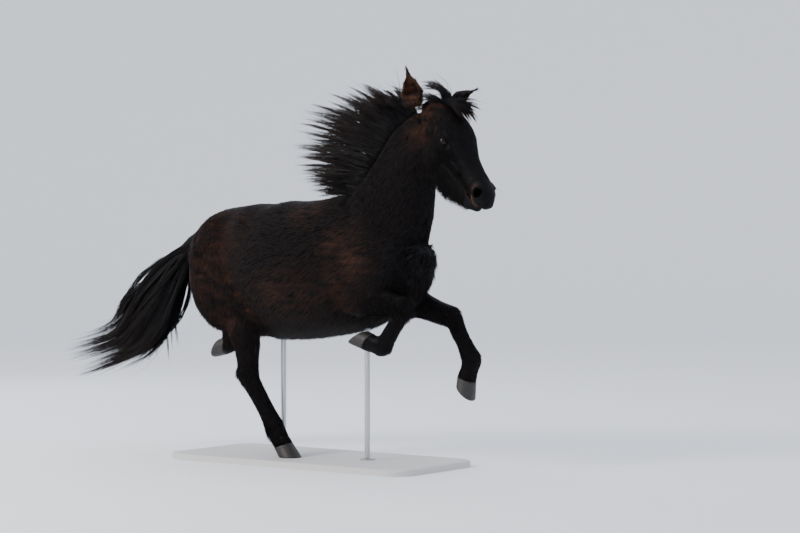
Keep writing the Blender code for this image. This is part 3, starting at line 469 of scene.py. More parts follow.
def farOnBothSides(points, path, back):
    # the same for a path on one side and its mirror image, which lies further back on the left
    sided = np.stack([points[:, 0] + back * (points[:, 1] > 0), np.abs(points[:, 1]), points[:, 2]], 1)
    return farFrom(sided, path)


def meltedSkin():
    # fine on the head, coarser on the body, joined by a bridge across the neck
    body, face = bmesh.new(), bmesh.new()
    for bm in (body, face):
        addHead(bm)
        addLoft(bm, neck, 40)
    addBody(body)
    body = melted(body, skinSizes["bodyVoxel"], skinSizes["bodyRounds"])
    face = melted(face, skinSizes["headVoxel"], skinSizes["headRounds"])
    point, normal = Vector(skinSizes["seamPoint"]), Vector(skinSizes["seamNormal"]).normalized()
    gap = normal * skinSizes["seamGap"]
    cutByPlane(body, point - gap, normal, False)
    cutByPlane(face, point + gap, normal, True)
    addTo(body, face)
    bmesh.ops.bridge_loops(body, edges=[e for e in body.edges if e.is_boundary])
    belt = [v for v in body.verts if abs((v.co - point).dot(normal)) < skinSizes["belt"]]
    relax(body, belt, skinSizes["beltRounds"])
    return body


# The coat: what rules the hair near each path. The hair lies along the path, from its first point
# to its last, and reach is how far the path rules. The rest is a tuft's length and width, how deep
# the coat is over the skin and how much it sags, in metres and shares.
def coatRulers():
    rulers = []

    def rule(points, reach, long, wide, deep, sag=0.0, region="trunk"):
        for a, b in zip(points, points[1:]):
            rulers.append({"a": np.array(a), "b": np.array(b), "reach": reach, "long": long, "wide": wide,
                           "deep": deep, "sag": sag, "region": region})

    rule([(0.60, 0, 0.98), (0.22, 0, 0.93)], 0.25, 0.048, 0.0038, 0.013, 0.40, "shoulders")
    rule([(0.22, 0, 0.93), (-0.30, 0, 0.93)], 0.25, 0.052, 0.0039, 0.014, 0.40)
    rule([(-0.30, 0, 1.0), (-0.74, 0, 1.02)], 0.22, 0.042, 0.0037, 0.012, 0.55, "quarters")
    rule([(0.70, -0.04, 1.58), (0.575, -0.02, 1.36), (0.50, -0.01, 1.20), (0.46, 0, 1.02)], 0.15,
         0.044, 0.0036, 0.012, 0.15, "neck")
    place = headPlace()
    face = [tuple(place @ Vector(p)) for p in ((0.0, 0, -0.07), (0.25, 0, -0.08), (0.53, 0, -0.085))]
    rule(face, 0.11, 0.013, 0.0015, 0.0030, 0.10, "face")
    jawline = [tuple(place @ Vector(p)) for p in ((0.13, 0, -0.20), (0.40, 0, -0.13))]
    rule(jawline, 0.06, 0.034, 0.0022, 0.008, 0.6, "cheeks")
    rule(dock["line"], 0.05, 0.050, 0.0038, 0.010, 0.1, "quarters")
    for leg in legs.values():
        region = "hindLegs" if "hip" in leg else "foreLegs"
        if "hip" in leg:
            rule([leg["hip"], leg["stifle"]], 0.17, 0.042, 0.0037, 0.012, 0.2, "quarters")
            rule([leg["stifle"], leg["hock"]], 0.085, 0.029, 0.0027, 0.009, 0.1, region)
            rule([leg["hock"], leg["fetlock"]], 0.052, 0.018, 0.0021, 0.006, 0.0, region)
        else:
            rule([leg["shoulder"], leg["elbow"]], 0.10, 0.040, 0.0036, 0.012, 0.5, region)
            rule([leg["elbow"], leg["knee"]], 0.078, 0.028, 0.0027, 0.009, 0.1, region)
            rule([leg["knee"], leg["fetlock"]], 0.048, 0.017, 0.0021, 0.006, 0.0, region)
        rule([leg["fetlock"], leg["coronet"]], 0.050, 0.024, 0.0026, 0.006, 0.0, region)
    return rulers


rulers = coatRulers()
nearestRule, ruleSharpness = 0.01, 5
regions = ["shoulders", "trunk", "quarters", "neck", "face", "cheeks", "foreLegs", "hindLegs"]
headRegions = [regions.index("face"), regions.index("cheeks")]


def coatRules(points):
    # blends the rulers at each point: the way along, the sizes, and the region that rules most
    total = np.zeros(len(points))
    way = np.zeros((len(points), 3))
    sizes = {key: np.zeros(len(points)) for key in ("long", "wide", "deep", "sag")}
    shares = np.zeros((len(points), len(regions)))
    for ruler in rulers:
        along = ruler["b"] - ruler["a"]
        far = farFromRun(points, ruler["a"], ruler["b"])
        pull = (ruler["reach"] / np.maximum(far, nearestRule)) ** ruleSharpness
        total += pull
        way += pull[:, None] * along / np.linalg.norm(along)
        shares[:, regions.index(ruler["region"])] += pull
        for key in sizes:
            sizes[key] += pull * ruler[key]
    for key in sizes:
        sizes[key] /= total
    return unit(way), sizes, shares / total[:, None]


def headPoints(points):
    # the points in the head's own axes
    return placed(points, headPlace().inverted())


# The coat's colours and painted shade: each mark is a soft patch on both sides, its centre, half sizes and
# strength
# Rust along two furrows: the path, how far it lies further back on the left, width and strength
streaks = [(relief[0][0], 0.07, 0.035, 1.0), (relief[2][0], -0.02, 0.060, 0.65)]
marksAndShade = {
    "rust": [
        ((0.36, 0.24, 0.98), (0.10, 0.16, 0.13), 0.5), ((0.08, 0.18, 1.20), (0.07, 0.12, 0.05), 0.6),
        ((-0.70, 0.12, 0.86), (0.06, 0.16, 0.16), 0.6), ((0.70, 0.10, 1.62), (0.07, 0.08, 0.09), 0.8),
        ((-0.42, 0.24, 0.66), (0.08, 0.14, 0.10), 0.4), ((0.05, 0.28, 0.80), (0.22, 0.12, 0.12), 0.3),
        # the haunch patch at (-0.50, 0.22, 1.00) is partly the coat's own rust brown and partly painted light
        # on the lit haunch
        ((-0.50, 0.22, 1.00), (0.20, 0.20, 0.26), 0.42), ((0.77, 0.05, 1.66), (0.05, 0.05, 0.06), 0.8),
    ],
    # blue is painted shade: a bluish darkening of the front and under parts that lie in shadow, the chest,
    # the throat, the face and the legs low down
    "blue": [
        ((0.60, 0.08, 1.02), (0.12, 0.30, 0.22), 0.9), ((0.64, 0.04, 1.30), (0.10, 0.20, 0.16), 0.7),
        ((0.60, 0.14, 0.60), (0.34, 0.20, 0.24), 0.7), ((0.95, 0.04, 1.42), (0.14, 0.16, 0.16), 0.6),
        ((-0.22, 0.13, 0.20), (0.24, 0.14, 0.26), 0.5),
    ],
}


def coatMarksAndShade(points):
    # red is rust, green is painted bluish shade, blue is bare skin
    found = np.zeros((len(points), 3))
    sided = np.stack([points[:, 0], np.abs(points[:, 1]), points[:, 2]], 1)
    for column, kind in enumerate(("rust", "blue")):
        for centre, half, strength in marksAndShade[kind]:
            far = (((sided - np.array(centre)) / np.array(half)) ** 2).sum(1)
            found[:, column] = np.maximum(found[:, column], strength * np.exp(-far * 0.9))
    for path, back, wide, strength in streaks:
        far = farOnBothSides(points, path, back)
        found[:, 0] = np.maximum(found[:, 0], strength * np.exp(-(far / wide) ** 2))
    local = headPoints(points)
    local[:, 1] = np.abs(local[:, 1])
    near = (local[:, 0] < 0.65) * (np.abs(local[:, 2]) < 0.25) * (local[:, 0] > -0.1)
    nose = ease(0.43, 0.49, local[:, 0]) * near
    eyeFar = np.linalg.norm((local - np.array(eye["place"])) / np.array((1.35, 1.0, 1.0)), axis=1)
    found[:, 2] = np.maximum(nose, 1 - ease(0.022, 0.030, eyeFar))
    for path, wide, strength in tanLines:
        line = strength * np.exp(-(farFrom(local, path) / wide) ** 2) * near
        found[:, 0] = np.maximum(found[:, 0] * (1 - nose), line)
    return found


# Head details

# Paler brown lines of bare skin, round the nostril and along the lips from their corner: a path in
# the head's own axes, its width and its strength
tanLines = [
    ([(0.480, 0.056, -0.036), (0.474, 0.058, -0.062), (0.484, 0.056, -0.088)], 0.012, 0.9),
    ([(0.440, 0.048, -0.116), (0.468, 0.046, -0.112), (0.530, 0.030, -0.112)], 0.010, 0.8),
]
eye = {
    "place": (0.206, 0.087, -0.043), "look": (0.30, 0.92, 0.16), "radius": 0.0235, "tilt": 0.12,
    "halfLength": 0.0205, "up": 0.0125, "down": 0.0095, "lid": 0.0024, "pocket": 0.0045, "reach": 0.040,
    "refined": (0.045, 0.034),
    "folds": [(0.0065, 0.0016), (0.0125, 0.0010)],  # height over the lid's edge, depth
    "foldWidth": 0.0016, "iris": 0.0150, "pupil": (0.0085, 0.0048), "cornea": 0.0010,
    "colours": ("#0d0908", "#1e110a", "#050404"),  # dark rim, iris, pupil
}
nostril = {
    "place": (0.503, 0.060, -0.060), "half": (0.0190, 0.0255), "depth": 0.036, "rim": 0.0050, "ring": 0.28,
    "refined": 0.040,
}
mouth = {
    "corner": (0.446, -0.122), "rise": 0.06, "depth": 0.0065, "width": 0.0024, "lip": 0.0028, "lipOff": 0.009,
    "lipWidth": 0.006, "middle": (0.51, 0, -0.122), "refined": 0.062,
}


def eyePlace(hand):
    # X along the lids, Y out of the head, Z up across the lids
    x, y, z = eye["place"]
    out = Vector((eye["look"][0], eye["look"][1] * hand, eye["look"][2])).normalized()
    along = Vector((1, 0, eye["tilt"]))
    along = (along - out * along.dot(out)).normalized()
    up = along.cross(out).normalized() * hand
    turn = Matrix((along, out, up)).transposed().to_4x4()
    return headPlace() @ Matrix.Translation((x, y * hand, z)) @ turn


def refineNear(bm, centre, reach):
    # halves the faces near a place and relaxes them
    faces = [f for f in bm.faces if (f.calc_center_median() - centre).length < reach]
    edges = list({e for f in faces for e in f.edges})
    bmesh.ops.subdivide_edges(bm, edges=edges, cuts=1, use_grid_fill=True)
    relax(bm, [v for v in bm.verts if (v.co - centre).length < reach], skinSizes["refinedRounds"])


def moveBy(points, place, change):
    # works on the points in a place's own axes and puts them back
    return placed(change(placed(points, place.inverted())), place)


def lidOpening(x):
    # the upper and the lower edge of the opening between the lids
    arch = np.sqrt(np.clip(1 - (x / eye["halfLength"]) ** 2, 0, 1))
    return eye["up"] * arch ** 0.9, -eye["down"] * arch


def shapeEye(local):
    x, y, z = local.T
    off = np.hypot(x, z)
    near = (y > -0.012) & (off < eye["reach"])
    radius = eye["radius"]
    over = np.sqrt(np.clip((radius + eye["lid"]) ** 2 - off ** 2, 0, None))
    blend = 1 - ease(radius * 0.80, radius * 1.45, off)
    raised = np.maximum(y, y + (over - y) * blend)
    upper, lower = lidOpening(x)
    for height, depth in eye["folds"]:
        crease = np.exp(-((z - upper - height) / eye["foldWidth"]) ** 2) * ease(0.030, 0.018, np.abs(x))
        raised = raised - depth * (crease * (z > 0))
    inside = (z < upper) & (z > lower) & (np.abs(x) < eye["halfLength"])
    under = np.sqrt(np.clip((radius - eye["pocket"]) ** 2 - off ** 2, 0, None))
    out = local.copy()
    out[:, 1] = np.where(near, np.where(inside, under, raised), y)
    return out


def shapeMuzzle(local, hand):
    x, y, z = local.T
    cx, _, cz = nostril["place"]
    a, b = nostril["half"]
    q = np.sqrt(((x - cx) / a) ** 2 + ((z - cz) / b) ** 2)
    facing = (y * hand > 0.02) & (q < 3)
    rim = nostril["rim"] * np.exp(-((q - 1.25) / nostril["ring"]) ** 2)
    dip = nostril["depth"] * np.sqrt(np.clip(1 - q * q, 0, 1)) - rim
    out = local.copy()
    out[:, 1] -= np.where(facing, dip * hand, 0.0)
    out[:, 0] -= np.where(facing, dip * 0.35, 0.0)
    return out


def mouthMove(points, normals):
    local = headPoints(points)
    x, _, z = local.T
    middle = mouth["corner"][1] + mouth["rise"] * (x - mouth["corner"][0])
    here = ease(mouth["corner"][0] - 0.004, mouth["corner"][0] + 0.012, x) * (x < 0.62)
    off = z - middle
    groove = mouth["depth"] * np.exp(-(off / mouth["width"]) ** 2)
    lips = mouth["lip"] * np.exp(-((np.abs(off) - mouth["lipOff"]) / mouth["lipWidth"]) ** 2)
    return normals * ((lips - groove) * here)[:, None]


def dressedSkin():
    bm = meltedSkin()
    place = headPlace()
    for hand in (-1, 1):
        for reach in eye["refined"]:
            refineNear(bm, eyePlace(hand).translation, reach)
        x, y, z = nostril["place"]
        refineNear(bm, place @ Vector((x, y * hand, z)), nostril["refined"])
    refineNear(bm, place @ Vector(mouth["middle"]), mouth["refined"])
    mesh = asMesh("skin", bm)
    points, normals = pointsOf(mesh), normalsOf(mesh)
    rules = coatRules(points)[1]
    points -= normals * rules["deep"][:, None]
    for path, back, wide, deep in relief:
        points -= normals * (deep * np.exp(-(farOnBothSides(points, path, back) / wide) ** 2))[:, None]
    setPoints(mesh, points)
    points = points + mouthMove(points, normalsOf(mesh))
    for hand in (-1, 1):
        points = moveBy(points, place, lambda local: shapeMuzzle(local, hand))
        points = moveBy(points, eyePlace(hand), shapeEye)
    setPoints(mesh, points)
    storeColour(mesh, "marksAndShade", coatMarksAndShade(points))
    return mesh


# Finishes

# blue is the colour of the painted shade; the others are the coat's, the bare skin's and the long hair's own
# colours
coatColours = {
    "brown": "#0f0c0d", "blue": "#07080d", "rust": "#62402f", "bare": "#050507", "tan": "#7a5a46",
    "tip": "#241c1a", "hair": "#06060a", "hairTip": "#4f372b",
}
hairGrain = {"long": 0.011, "wide": 0.0013}  # one hair streak of the short fur, a little coarser than real


def objectPlace(tree):
    return addNode(tree, "ShaderNodeTexCoord").outputs["Object"]


def stretched(tree, where, scale):
    return addNode(tree, "ShaderNodeMapping", {"Vector": where, "Scale": scale}).outputs["Vector"]


def noiseAt(tree, where, scale, detail):
    noisy = addNode(tree, "ShaderNodeTexNoise", {"Vector": where, "Scale": scale, "Detail": detail})
    return noisy.outputs["Fac"]


def times(tree, one, two):
    return addNode(tree, "ShaderNodeMath", {0: one, 1: two}, operation="MULTIPLY").outputs["Value"]


def ranged(tree, value, source=(0.0, 1.0), target=(0.0, 1.0)):
    ends = {"From Min": source[0], "From Max": source[1], "To Min": target[0], "To Max": target[1]}
    return addNode(tree, "ShaderNodeMapRange", {"Value": value, **ends}).outputs["Result"]


def mixed(tree, share, one, two):
    # a blend of two colours, each a hex code or another node's output
    one, two = (fromHex(end) if isinstance(end, str) else end for end in (one, two))
    return addNode(tree, "ShaderNodeMix", {0: share, 6: one, 7: two}, data_type="RGBA").outputs[2]


def channels(tree, name):
    # the red, green and blue of a mesh's own colours
    own = addNode(tree, "ShaderNodeAttribute", attribute_name=name)
    split = addNode(tree, "ShaderNodeSeparateColor", {"Color": own.outputs["Color"]})
    return [split.outputs[channel] for channel in ("Red", "Green", "Blue")]


def addBump(tree, shader, height, strength, distance):
    bump = addNode(tree, "ShaderNodeBump", {"Height": height, "Strength": strength, "Distance": distance})
    tree.links.new(bump.outputs["Normal"], shader.inputs["Normal"])


def coatColour(tree):
    # the coat's markings and its painted bluish shade over its own noise: the same nodes on the skin and on
    # the tufts
    red, shadeShare, blue = channels(tree, "marksAndShade")
    where = objectPlace(tree)
    patchy = noiseAt(tree, stretched(tree, where, (6.0, 18.0, 18.0)), 1.6, 4.0)
    rust = times(tree, red, ranged(tree, patchy, source=(0.35, 0.65)))
    # painted shade: the coat turns blue-black where the green channel lies
    dark = mixed(tree, shadeShare, coatColours["brown"], coatColours["blue"])
    return mixed(tree, rust, dark, coatColours["rust"]), red, blue, where


def skinFinish():
    # short fur and hide: dull, streaked down the face, with bare pored skin at the nose and the eyes' rims
    material, tree, shader = newFinish("horseHide", Roughness=0.55, Specular_IOR_Level=0.10)
    colour, red, blue, where = coatColour(tree)
    bareSkin = mixed(tree, red, coatColours["bare"], coatColours["tan"])
    tree.links.new(mixed(tree, blue, colour, bareSkin), shader.inputs["Base Color"])
    place = onStand @ headPlace()
    cell = (hairGrain["long"], hairGrain["wide"], hairGrain["wide"])
    lie = addNode(tree, "ShaderNodeMapping", {
        "Vector": where, "Location": place.translation, "Rotation": place.to_euler(), "Scale": cell,
    }, vector_type="TEXTURE")
    fur = noiseAt(tree, lie.outputs["Vector"], 1.0, 3.0)
    pores = noiseAt(tree, where, 420.0, 3.0)
    height = addNode(tree, "ShaderNodeMix", {0: blue, 2: fur, 3: pores}, data_type="FLOAT")
    addBump(tree, shader, height.outputs[0], 0.6, 0.0015)
    return material


def tuftShade(tree, colour, tipHex, tipShare):
    # each tuft a little lighter or darker than the next, paler to its tip
    own, toTip, _ = channels(tree, "tuft")
    tipped = mixed(tree, times(tree, toTip, tipShare), colour, tipHex)
    level = ranged(tree, own, target=(0.75, 1.30))
    scaled = addNode(tree, "ShaderNodeVectorMath", {0: tipped, "Scale": level}, operation="SCALE")
    return scaled.outputs["Vector"]


def coatFinish():
    # winter hair in tufts: satin, darker at the root
    material, tree, shader = newFinish("winterCoatHair", Roughness=0.48, Specular_IOR_Level=0.12)
    shade = tuftShade(tree, coatColour(tree)[0], coatColours["tip"], 0.35)
    tree.links.new(shade, shader.inputs["Base Color"])
    return material


def longHairFinish():
    # mane and tail hair: glossier than the coat, bleached brown at the tips
    material, tree, shader = newFinish("longBlackHair", Roughness=0.38, Specular_IOR_Level=0.13)
    shade = tuftShade(tree, coatColours["hair"], coatColours["hairTip"], 0.55)
    tree.links.new(shade, shader.inputs["Base Color"])
    return material


def hornFinish():
    # hoof horn: dull, mottled grey-black with a fine grain
    material, tree, shader = newFinish("hoofHorn", Roughness=0.55)
    grain = noiseAt(tree, objectPlace(tree), 90.0, 6.0)
    tree.links.new(mixed(tree, grain, "#0f0e0e", "#2a2522"), shader.inputs["Base Color"])
    addBump(tree, shader, grain, 0.4, 0.001)
    return material


def eyeFinish():
    # a wet dark eye: brown iris round a wide black pupil, with sharp small lights in it
    material, tree, shader = newFinish("wetEye", Roughness=0.05, Specular_IOR_Level=0.2)
    own = addNode(tree, "ShaderNodeAttribute", attribute_name="iris")
    tree.links.new(own.outputs["Color"], shader.inputs["Base Color"])
    return material


def steelFinish():
    # brushed stainless steel: fine turning marks round the rod
    material, tree, shader = newFinish("brushedSteel", Metallic=1.0, Base_Color=fromHex("#b9bbbd"))
    turning = noiseAt(tree, stretched(tree, objectPlace(tree), (20.0, 20.0, 900.0)), 1.0, 2.0)
    tree.links.new(ranged(tree, turning, target=(0.26, 0.42)), shader.inputs["Roughness"])
    return material


def paintFinish():
    # matt paint on board, rolled on: a faint orange peel
    material, tree, shader = newFinish("mattPaint", Base_Color=fromHex("#c6c5c3"), Roughness=0.6)
    addBump(tree, shader, noiseAt(tree, objectPlace(tree), 260.0, 2.0), 0.25, 0.0006)
    return material


hide = skinFinish()
coatHair = coatFinish()
longHair = longHairFinish()
horn = hornFinish()
wetEye = eyeFinish()
steel = steelFinish()
paint = paintFinish()
print("finishes made")

# Skin

fleshNodes = [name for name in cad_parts
              if name in ("torso", "neck", "head") or name.split("_")[0] in ("gaskin", "forearm")
              or "cannon" in name or "pastern" in name]
skinMesh = dressedSkin()
print("skin", sum(len(p.vertices) - 2 for p in skinMesh.polygons), "triangles")


# Ears

ears = {
    "ear_right": {
        "root": (-0.045, -0.083, -0.090), "tip": (-0.17, -0.12, 0.977), "cup": (0.10, -0.96, -0.10),
        "rust": 0.75,
    },
    "ear_left": {
        "root": (0.018, 0.050, -0.018), "tip": (0.30, 0.80, 0.52), "cup": (0.72, 0.10, -0.60),
        "rust": 0.15,
    },
}
earShape = {
    # share of the length, half width, half thickness
    "sections": [(0.0, 0.036, 0.031), (0.25, 0.051, 0.034), (0.5, 0.055, 0.031), (0.72, 0.042, 0.022),
                 (0.9, 0.020, 0.011), (1.0, 0.006, 0.004)],
    "length": 0.175, "wall": 0.004, "coat": 0.005, "curl": 125.0, "opens": (0.18, 0.36),
    "closes": (0.93, 0.995), "front": 0.8, "lean": 0.008, "sides": 40, "rings": 36,
}


def earAxes(name):
    tip = Vector(ears[name]["tip"]).normalized()
    cup = Vector(ears[name]["cup"])
    cup = (cup - tip * cup.dot(tip)).normalized()
    turn = Matrix((tip.cross(cup), cup, tip)).transposed().to_4x4()
    return Matrix.Translation(headPlace() @ Vector(ears[name]["root"])) @ turn


def earRing(share):
    # a crescent where the cup is open, a closed oval at the root and the tip
    _, wide, deep = rowAt(earShape["sections"], share, 20)
    wide, deep = wide - earShape["coat"], deep - earShape["coat"]
    opened = float(ease(*earShape["opens"], share) * (1 - ease(*earShape["closes"], share)))
    wall = min(earShape["wall"], wide * 0.4)
    half = earShape["sides"] // 2
    curl = math.radians(earShape["curl"])
    points = []
    for k in range(half):  # round the back
        turn = -curl + 2 * curl * k / (half - 1)
        points.append(Vector((wide * math.sin(turn), -deep * math.cos(turn), 0)))
    for k in range(half):  # across the front, or down into the cup
        turn = curl - 2 * curl * (k + 0.5) / half
        inner = Vector(((wide - wall) * math.sin(turn), -(deep - wall) * math.cos(turn), 0))
        front = curl + (2 * math.pi - 2 * curl) * (k + 0.5) / half
        closed = Vector((wide * math.sin(front), -deep * earShape["front"] * math.cos(front), 0))
        points.append(closed.lerp(inner, opened))
    centre = Vector((0, -earShape["lean"] * math.sin(math.pi * share), share * earShape["length"]))
    return [centre + point for point in points]


def earMarksAndShade(name, points):
    found = coatMarksAndShade(points)
    found[:, 0] = np.maximum(found[:, 0], ears[name]["rust"])
    return found


def earMesh(name):
    bm = bmesh.new()
    count = earShape["rings"]
    addRings(bm, [earRing(k / count) for k in range(count + 1)], earAxes(name))
    mesh = asMesh(f"{name}_skin", bm)
    markingAndShade = earMarksAndShade(name, pointsOf(mesh))
    markingAndShade[:, 2] = 0.0
    storeColour(mesh, "marksAndShade", markingAndShade)
    return mesh


earMeshes = {name: earMesh(name) for name in ears}

# Eyes


def eyeMesh(hand, name):
    bm = bmesh.new()
    bmesh.ops.create_uvsphere(bm, u_segments=64, v_segments=40, radius=eye["radius"])
    bm.transform(Matrix.Rotation(math.radians(-90), 4, "X"))
    mesh = asMesh(name, bm)
    points = pointsOf(mesh)
    x, y, z = points.T
    off = np.hypot(x, z)
    half, high = eye["pupil"]
    inPupil = 1 - ease(0.85, 1.15, np.sqrt((x / half) ** 2 + (z / high) ** 2))[:, None]
    inRim = ease(eye["iris"] * 0.86, eye["iris"] * 1.08, off)[:, None]
    rim, iris, pupil = (np.array(fromHex(code)[:3]) for code in eye["colours"])
    colour = iris * (1 - inRim) + rim * inRim
    colour = colour * (1 - inPupil) + pupil * inPupil
    points[:, 1] += eye["cornea"] * (1 - ease(0.0, eye["iris"] * 1.05, off)) * (y > 0)
    setPoints(mesh, points)
    storeColour(mesh, "iris", colour)
    mesh.transform(eyePlace(hand))
    if hand < 0:  # the right eye's axes are a mirror image, which turns the ball inside out
        mesh.flip_normals()
    return mesh


for name, hand in (("eye_right", -1), ("eye_left", 1)):
    asPiece(eyeMesh(hand, f"{name}_ball"), wetEye, [name])
print("ears and eyes")

# Hooves

hoof = {
    "soleHalf": 0.055, "soleSide": 0.054, "ahead": 0.041, "rim": 0.009, "hollow": 0.007, "hollowShare": 0.86,
    "edge": 0.001, "top": 0.045, "topSide": 0.046, "height": 0.053, "slope": 22.0, "gap": 0.0003, "sides": 56,
    "rings": 16, "ripple": 0.00035, "ripples": 5, "bulge": 0.0012, "worn": 0.0015,
    "frog": (0.026, 0.020, 0.012), "frogBack": 0.012, "frogEdge": 0.0025, "square": 2.2,
}


def hoofPlace(leg):
    return Matrix.Translation(Vector(leg["coronet"])) @ Matrix.Rotation(math.radians(leg["pitch"]), 4, "Y")


def coronetNormal(leg):
    slope = math.radians(hoof["slope"])
    return hoofPlace(leg).to_3x3() @ Vector((-math.sin(slope), 0, math.cos(slope)))


def hoofRings():
    # from the sole's hollow out over the rim and up the wall to the coronet
    slope = math.radians(hoof["slope"])
    sole = Vector((hoof["ahead"], 0, -hoof["height"]))
    flat, tilted = Vector((1, 0, 0)), Vector((math.cos(slope), 0, math.sin(slope)))
    under = sole + Vector((0, 0, hoof["hollow"]))
    rim, sides, square, edge = (hoof[key] for key in ("rim", "sides", "square", "edge"))
    inner = (hoof["soleHalf"] - rim, hoof["soleHalf"] - rim, hoof["soleSide"] - rim)
    hollow = [h * hoof["hollowShare"] for h in inner]
    rings = [ovalSection(under, flat, acrossAxis, hollow, sides, square),
             ovalSection(sole + Vector((0, 0, edge)), flat, acrossAxis, inner, sides, square),
             ovalSection(sole, flat, acrossAxis, [h + edge for h in inner], sides, square)]
    outer = (hoof["soleHalf"], hoof["soleHalf"], hoof["soleSide"])
    top = (hoof["top"], hoof["top"], hoof["topSide"])
    drop = Vector((math.sin(slope), 0, -math.cos(slope))) * hoof["gap"]
    count = hoof["rings"]
    for k in range(count + 1):
        t = k / count
        ripple = hoof["ripple"] * math.sin(2 * math.pi * hoof["ripples"] * t) - hoof["ripple"]
        band = hoof["bulge"] * math.exp(-((t - 0.9) / 0.06) ** 2) - hoof["worn"] * math.exp(-(t / 0.02) ** 2)
        half = [a + (b - a) * t + ripple + band for a, b in zip(outer, top)]
        front = flat.lerp(tilted, t).normalized()
        rings.append(ovalSection(sole.lerp(drop, t), front, acrossAxis, half, sides, square - 0.1 * t))
    return rings


def addFrog(bm, place):
    # the wedge in the middle of the sole
    wide, narrow, deep = hoof["frog"]
    centre = Vector((hoof["ahead"] - hoof["frogBack"], 0, -hoof["height"] + hoof["hollow"]))
    part = bmesh.new()
    bmesh.ops.create_cone(part, cap_ends=True, segments=3, radius1=narrow, radius2=wide, depth=deep * 0.8,
                          matrix=Matrix.Translation(centre))
    bmesh.ops.bevel(part, geom=list(part.edges), offset=hoof["frogEdge"], segments=2, affect="EDGES",
                    profile=0.5, material=-1)
    addTo(bm, part, place)


for name, leg in legs.items():
    kind, hand = name.split("_")
    bm = bmesh.new()
    addRings(bm, hoofRings(), hoofPlace(leg))
    addFrog(bm, hoofPlace(leg))
    asPiece(asMesh(f"{kind}_hoof_{hand}_horn", bm), horn, [f"{kind}_hoof_{hand}"])

# Coat

coat = {
    "seed": 5, "tufts": 185000, "tuftRise": (0.45, 1.0), "clump": 11, "clumpPull": 0.40,
    "thick": 0.30, "sunk": 0.002, "patch": 0.003, "waver": (9.0, 6.0, 5.0),
}
# How much longer the coat hangs: in shares of its own length
fringe = {"belly": 0.5, "chest": 0.5, "jaw": 1.8, "fetlock": 1.8}
# Hair on an ear: its length, and how much is added at the cup's edge, the foot and the tip
earCoat = {
    "tufts": 3600, "long": 0.016, "edge": 0.018, "foot": 0.022, "tip": 0.016, "wide": 0.0030, "deep": 0.005,
    "edgeDeep": 0.010, "edgeAt": 0.036, "edgeWide": 0.012, "clump": 7, "clumpPull": 0.35,
}
# The unwrap that gives each tuft its place in the map
unwrapping = {"faces": 9000, "angle": 66.0, "margin": 0.004}
draw = np.random.default_rng(coat["seed"])


def scattered(mesh, count, densityAt):
    # roots spread over a mesh: points and normals, more where the density is higher
    points, normals, corners = pointsOf(mesh), normalsOf(mesh), trianglesOf(mesh)
    a, b, c = (points[corners[:, k]] for k in range(3))
    area = 0.5 * np.linalg.norm(np.cross(b - a, c - a), axis=1)
    weight = area * densityAt((a + b + c) / 3)
    chosen = draw.choice(len(corners), count, p=weight / weight.sum())
    u, v = draw.random(count), draw.random(count)
    flip = u + v > 1
    u[flip], v[flip] = 1 - u[flip], 1 - v[flip]
    shares = np.stack([1 - u - v, u, v], 1)[:, :, None]
    return ((points[corners[chosen]] * shares).sum(1), unit((normals[corners[chosen]] * shares).sum(1)))


def skinDensity(centres):
    # as many tufts as cover the skin alike, none on bare skin
    _, sizes, shares = coatRules(centres)
    inHead = shares[:, headRegions].sum(1)
    cover = (1.0 - 0.35 * inHead) * (1 - 0.5 * coatMarksAndShade(centres)[:, 2])
    for leg in legs.values():  # none where a leg ends inside its hoof
        off = centres - np.array(leg["coronet"])
        cover *= 1 - (off @ np.array(coronetNormal(leg)) < 0.002) * (np.linalg.norm(off, axis=1) < 0.075)
    return cover / (sizes["long"] * sizes["wide"])


def ragged(roots, normals, local, shares):
    # where the coat hangs longer: the belly, the chest, the jaw and behind the fetlocks
    x, _, z = roots.T
    down = -normals[:, 2]
    trunkShare = shares[:, :3].sum(1)
    longer = fringe["belly"] * ease(0.15, 0.8, down) * trunkShare * ease(-0.70, -0.45, x)
    longer += fringe["chest"] * ease(0.45, 0.60, x) * ease(1.15, 0.85, z) * (z > 0.6)
    inHead = shares[:, headRegions].sum(1)
    jaw = ease(0.0, 0.5, down) * ease(0.04, 0.10, local[:, 0]) * ease(0.53, 0.44, local[:, 0]) * inHead
    longer += fringe["jaw"] * jaw
    for leg in legs.values():
        fetlock, coronet = np.array(leg["fetlock"]), np.array(leg["coronet"])
        along = unit(coronet - fetlock)
        rear = -np.cross(along, (0, 1, 0))
        near = np.exp(-(np.linalg.norm(roots - fetlock - rear * 0.04, axis=1) / 0.05) ** 2)
        longer += fringe["fetlock"] * near * ease(-0.1, 0.7, normals @ rear)
    return longer


def tuftShapes(roots, normals, way, sizes, longer, lean):
    # each tuft's root, middle and tip
    count = len(roots)
    long = sizes["long"] * (1 + longer) * draw.uniform(0.75, 1.2, count)
    down = np.array((0.0, 0.0, -1.0))
    pulled = way + sizes["sag"][:, None] * down + np.minimum(longer, 1.2)[:, None] * 0.55 * down
    along = unit(pulled - normals * (pulled * normals).sum(1, keepdims=True))
    side = np.cross(normals, along)
    slow, quick, own = np.radians(coat["waver"])
    turn = slow * wobble(roots, 7.0, 1) + quick * wobble(roots, 30.0, 2) + draw.normal(0, own, count)
    along = along * np.cos(turn)[:, None] + side * np.sin(turn)[:, None]
    rise = sizes["deep"] * draw.uniform(*coat["tuftRise"], count)
    rise = np.minimum(rise * (1 + 0.2 * longer), long * lean)
    hang = unit(along + np.minimum(longer, 1.0)[:, None] * 0.5 * down)
    tips = roots + hang * np.sqrt(long ** 2 - rise ** 2)[:, None] + normals * rise[:, None]
    middles = roots + along * (long * 0.45)[:, None] + normals * (rise * 0.62)[:, None]
    return middles, tips


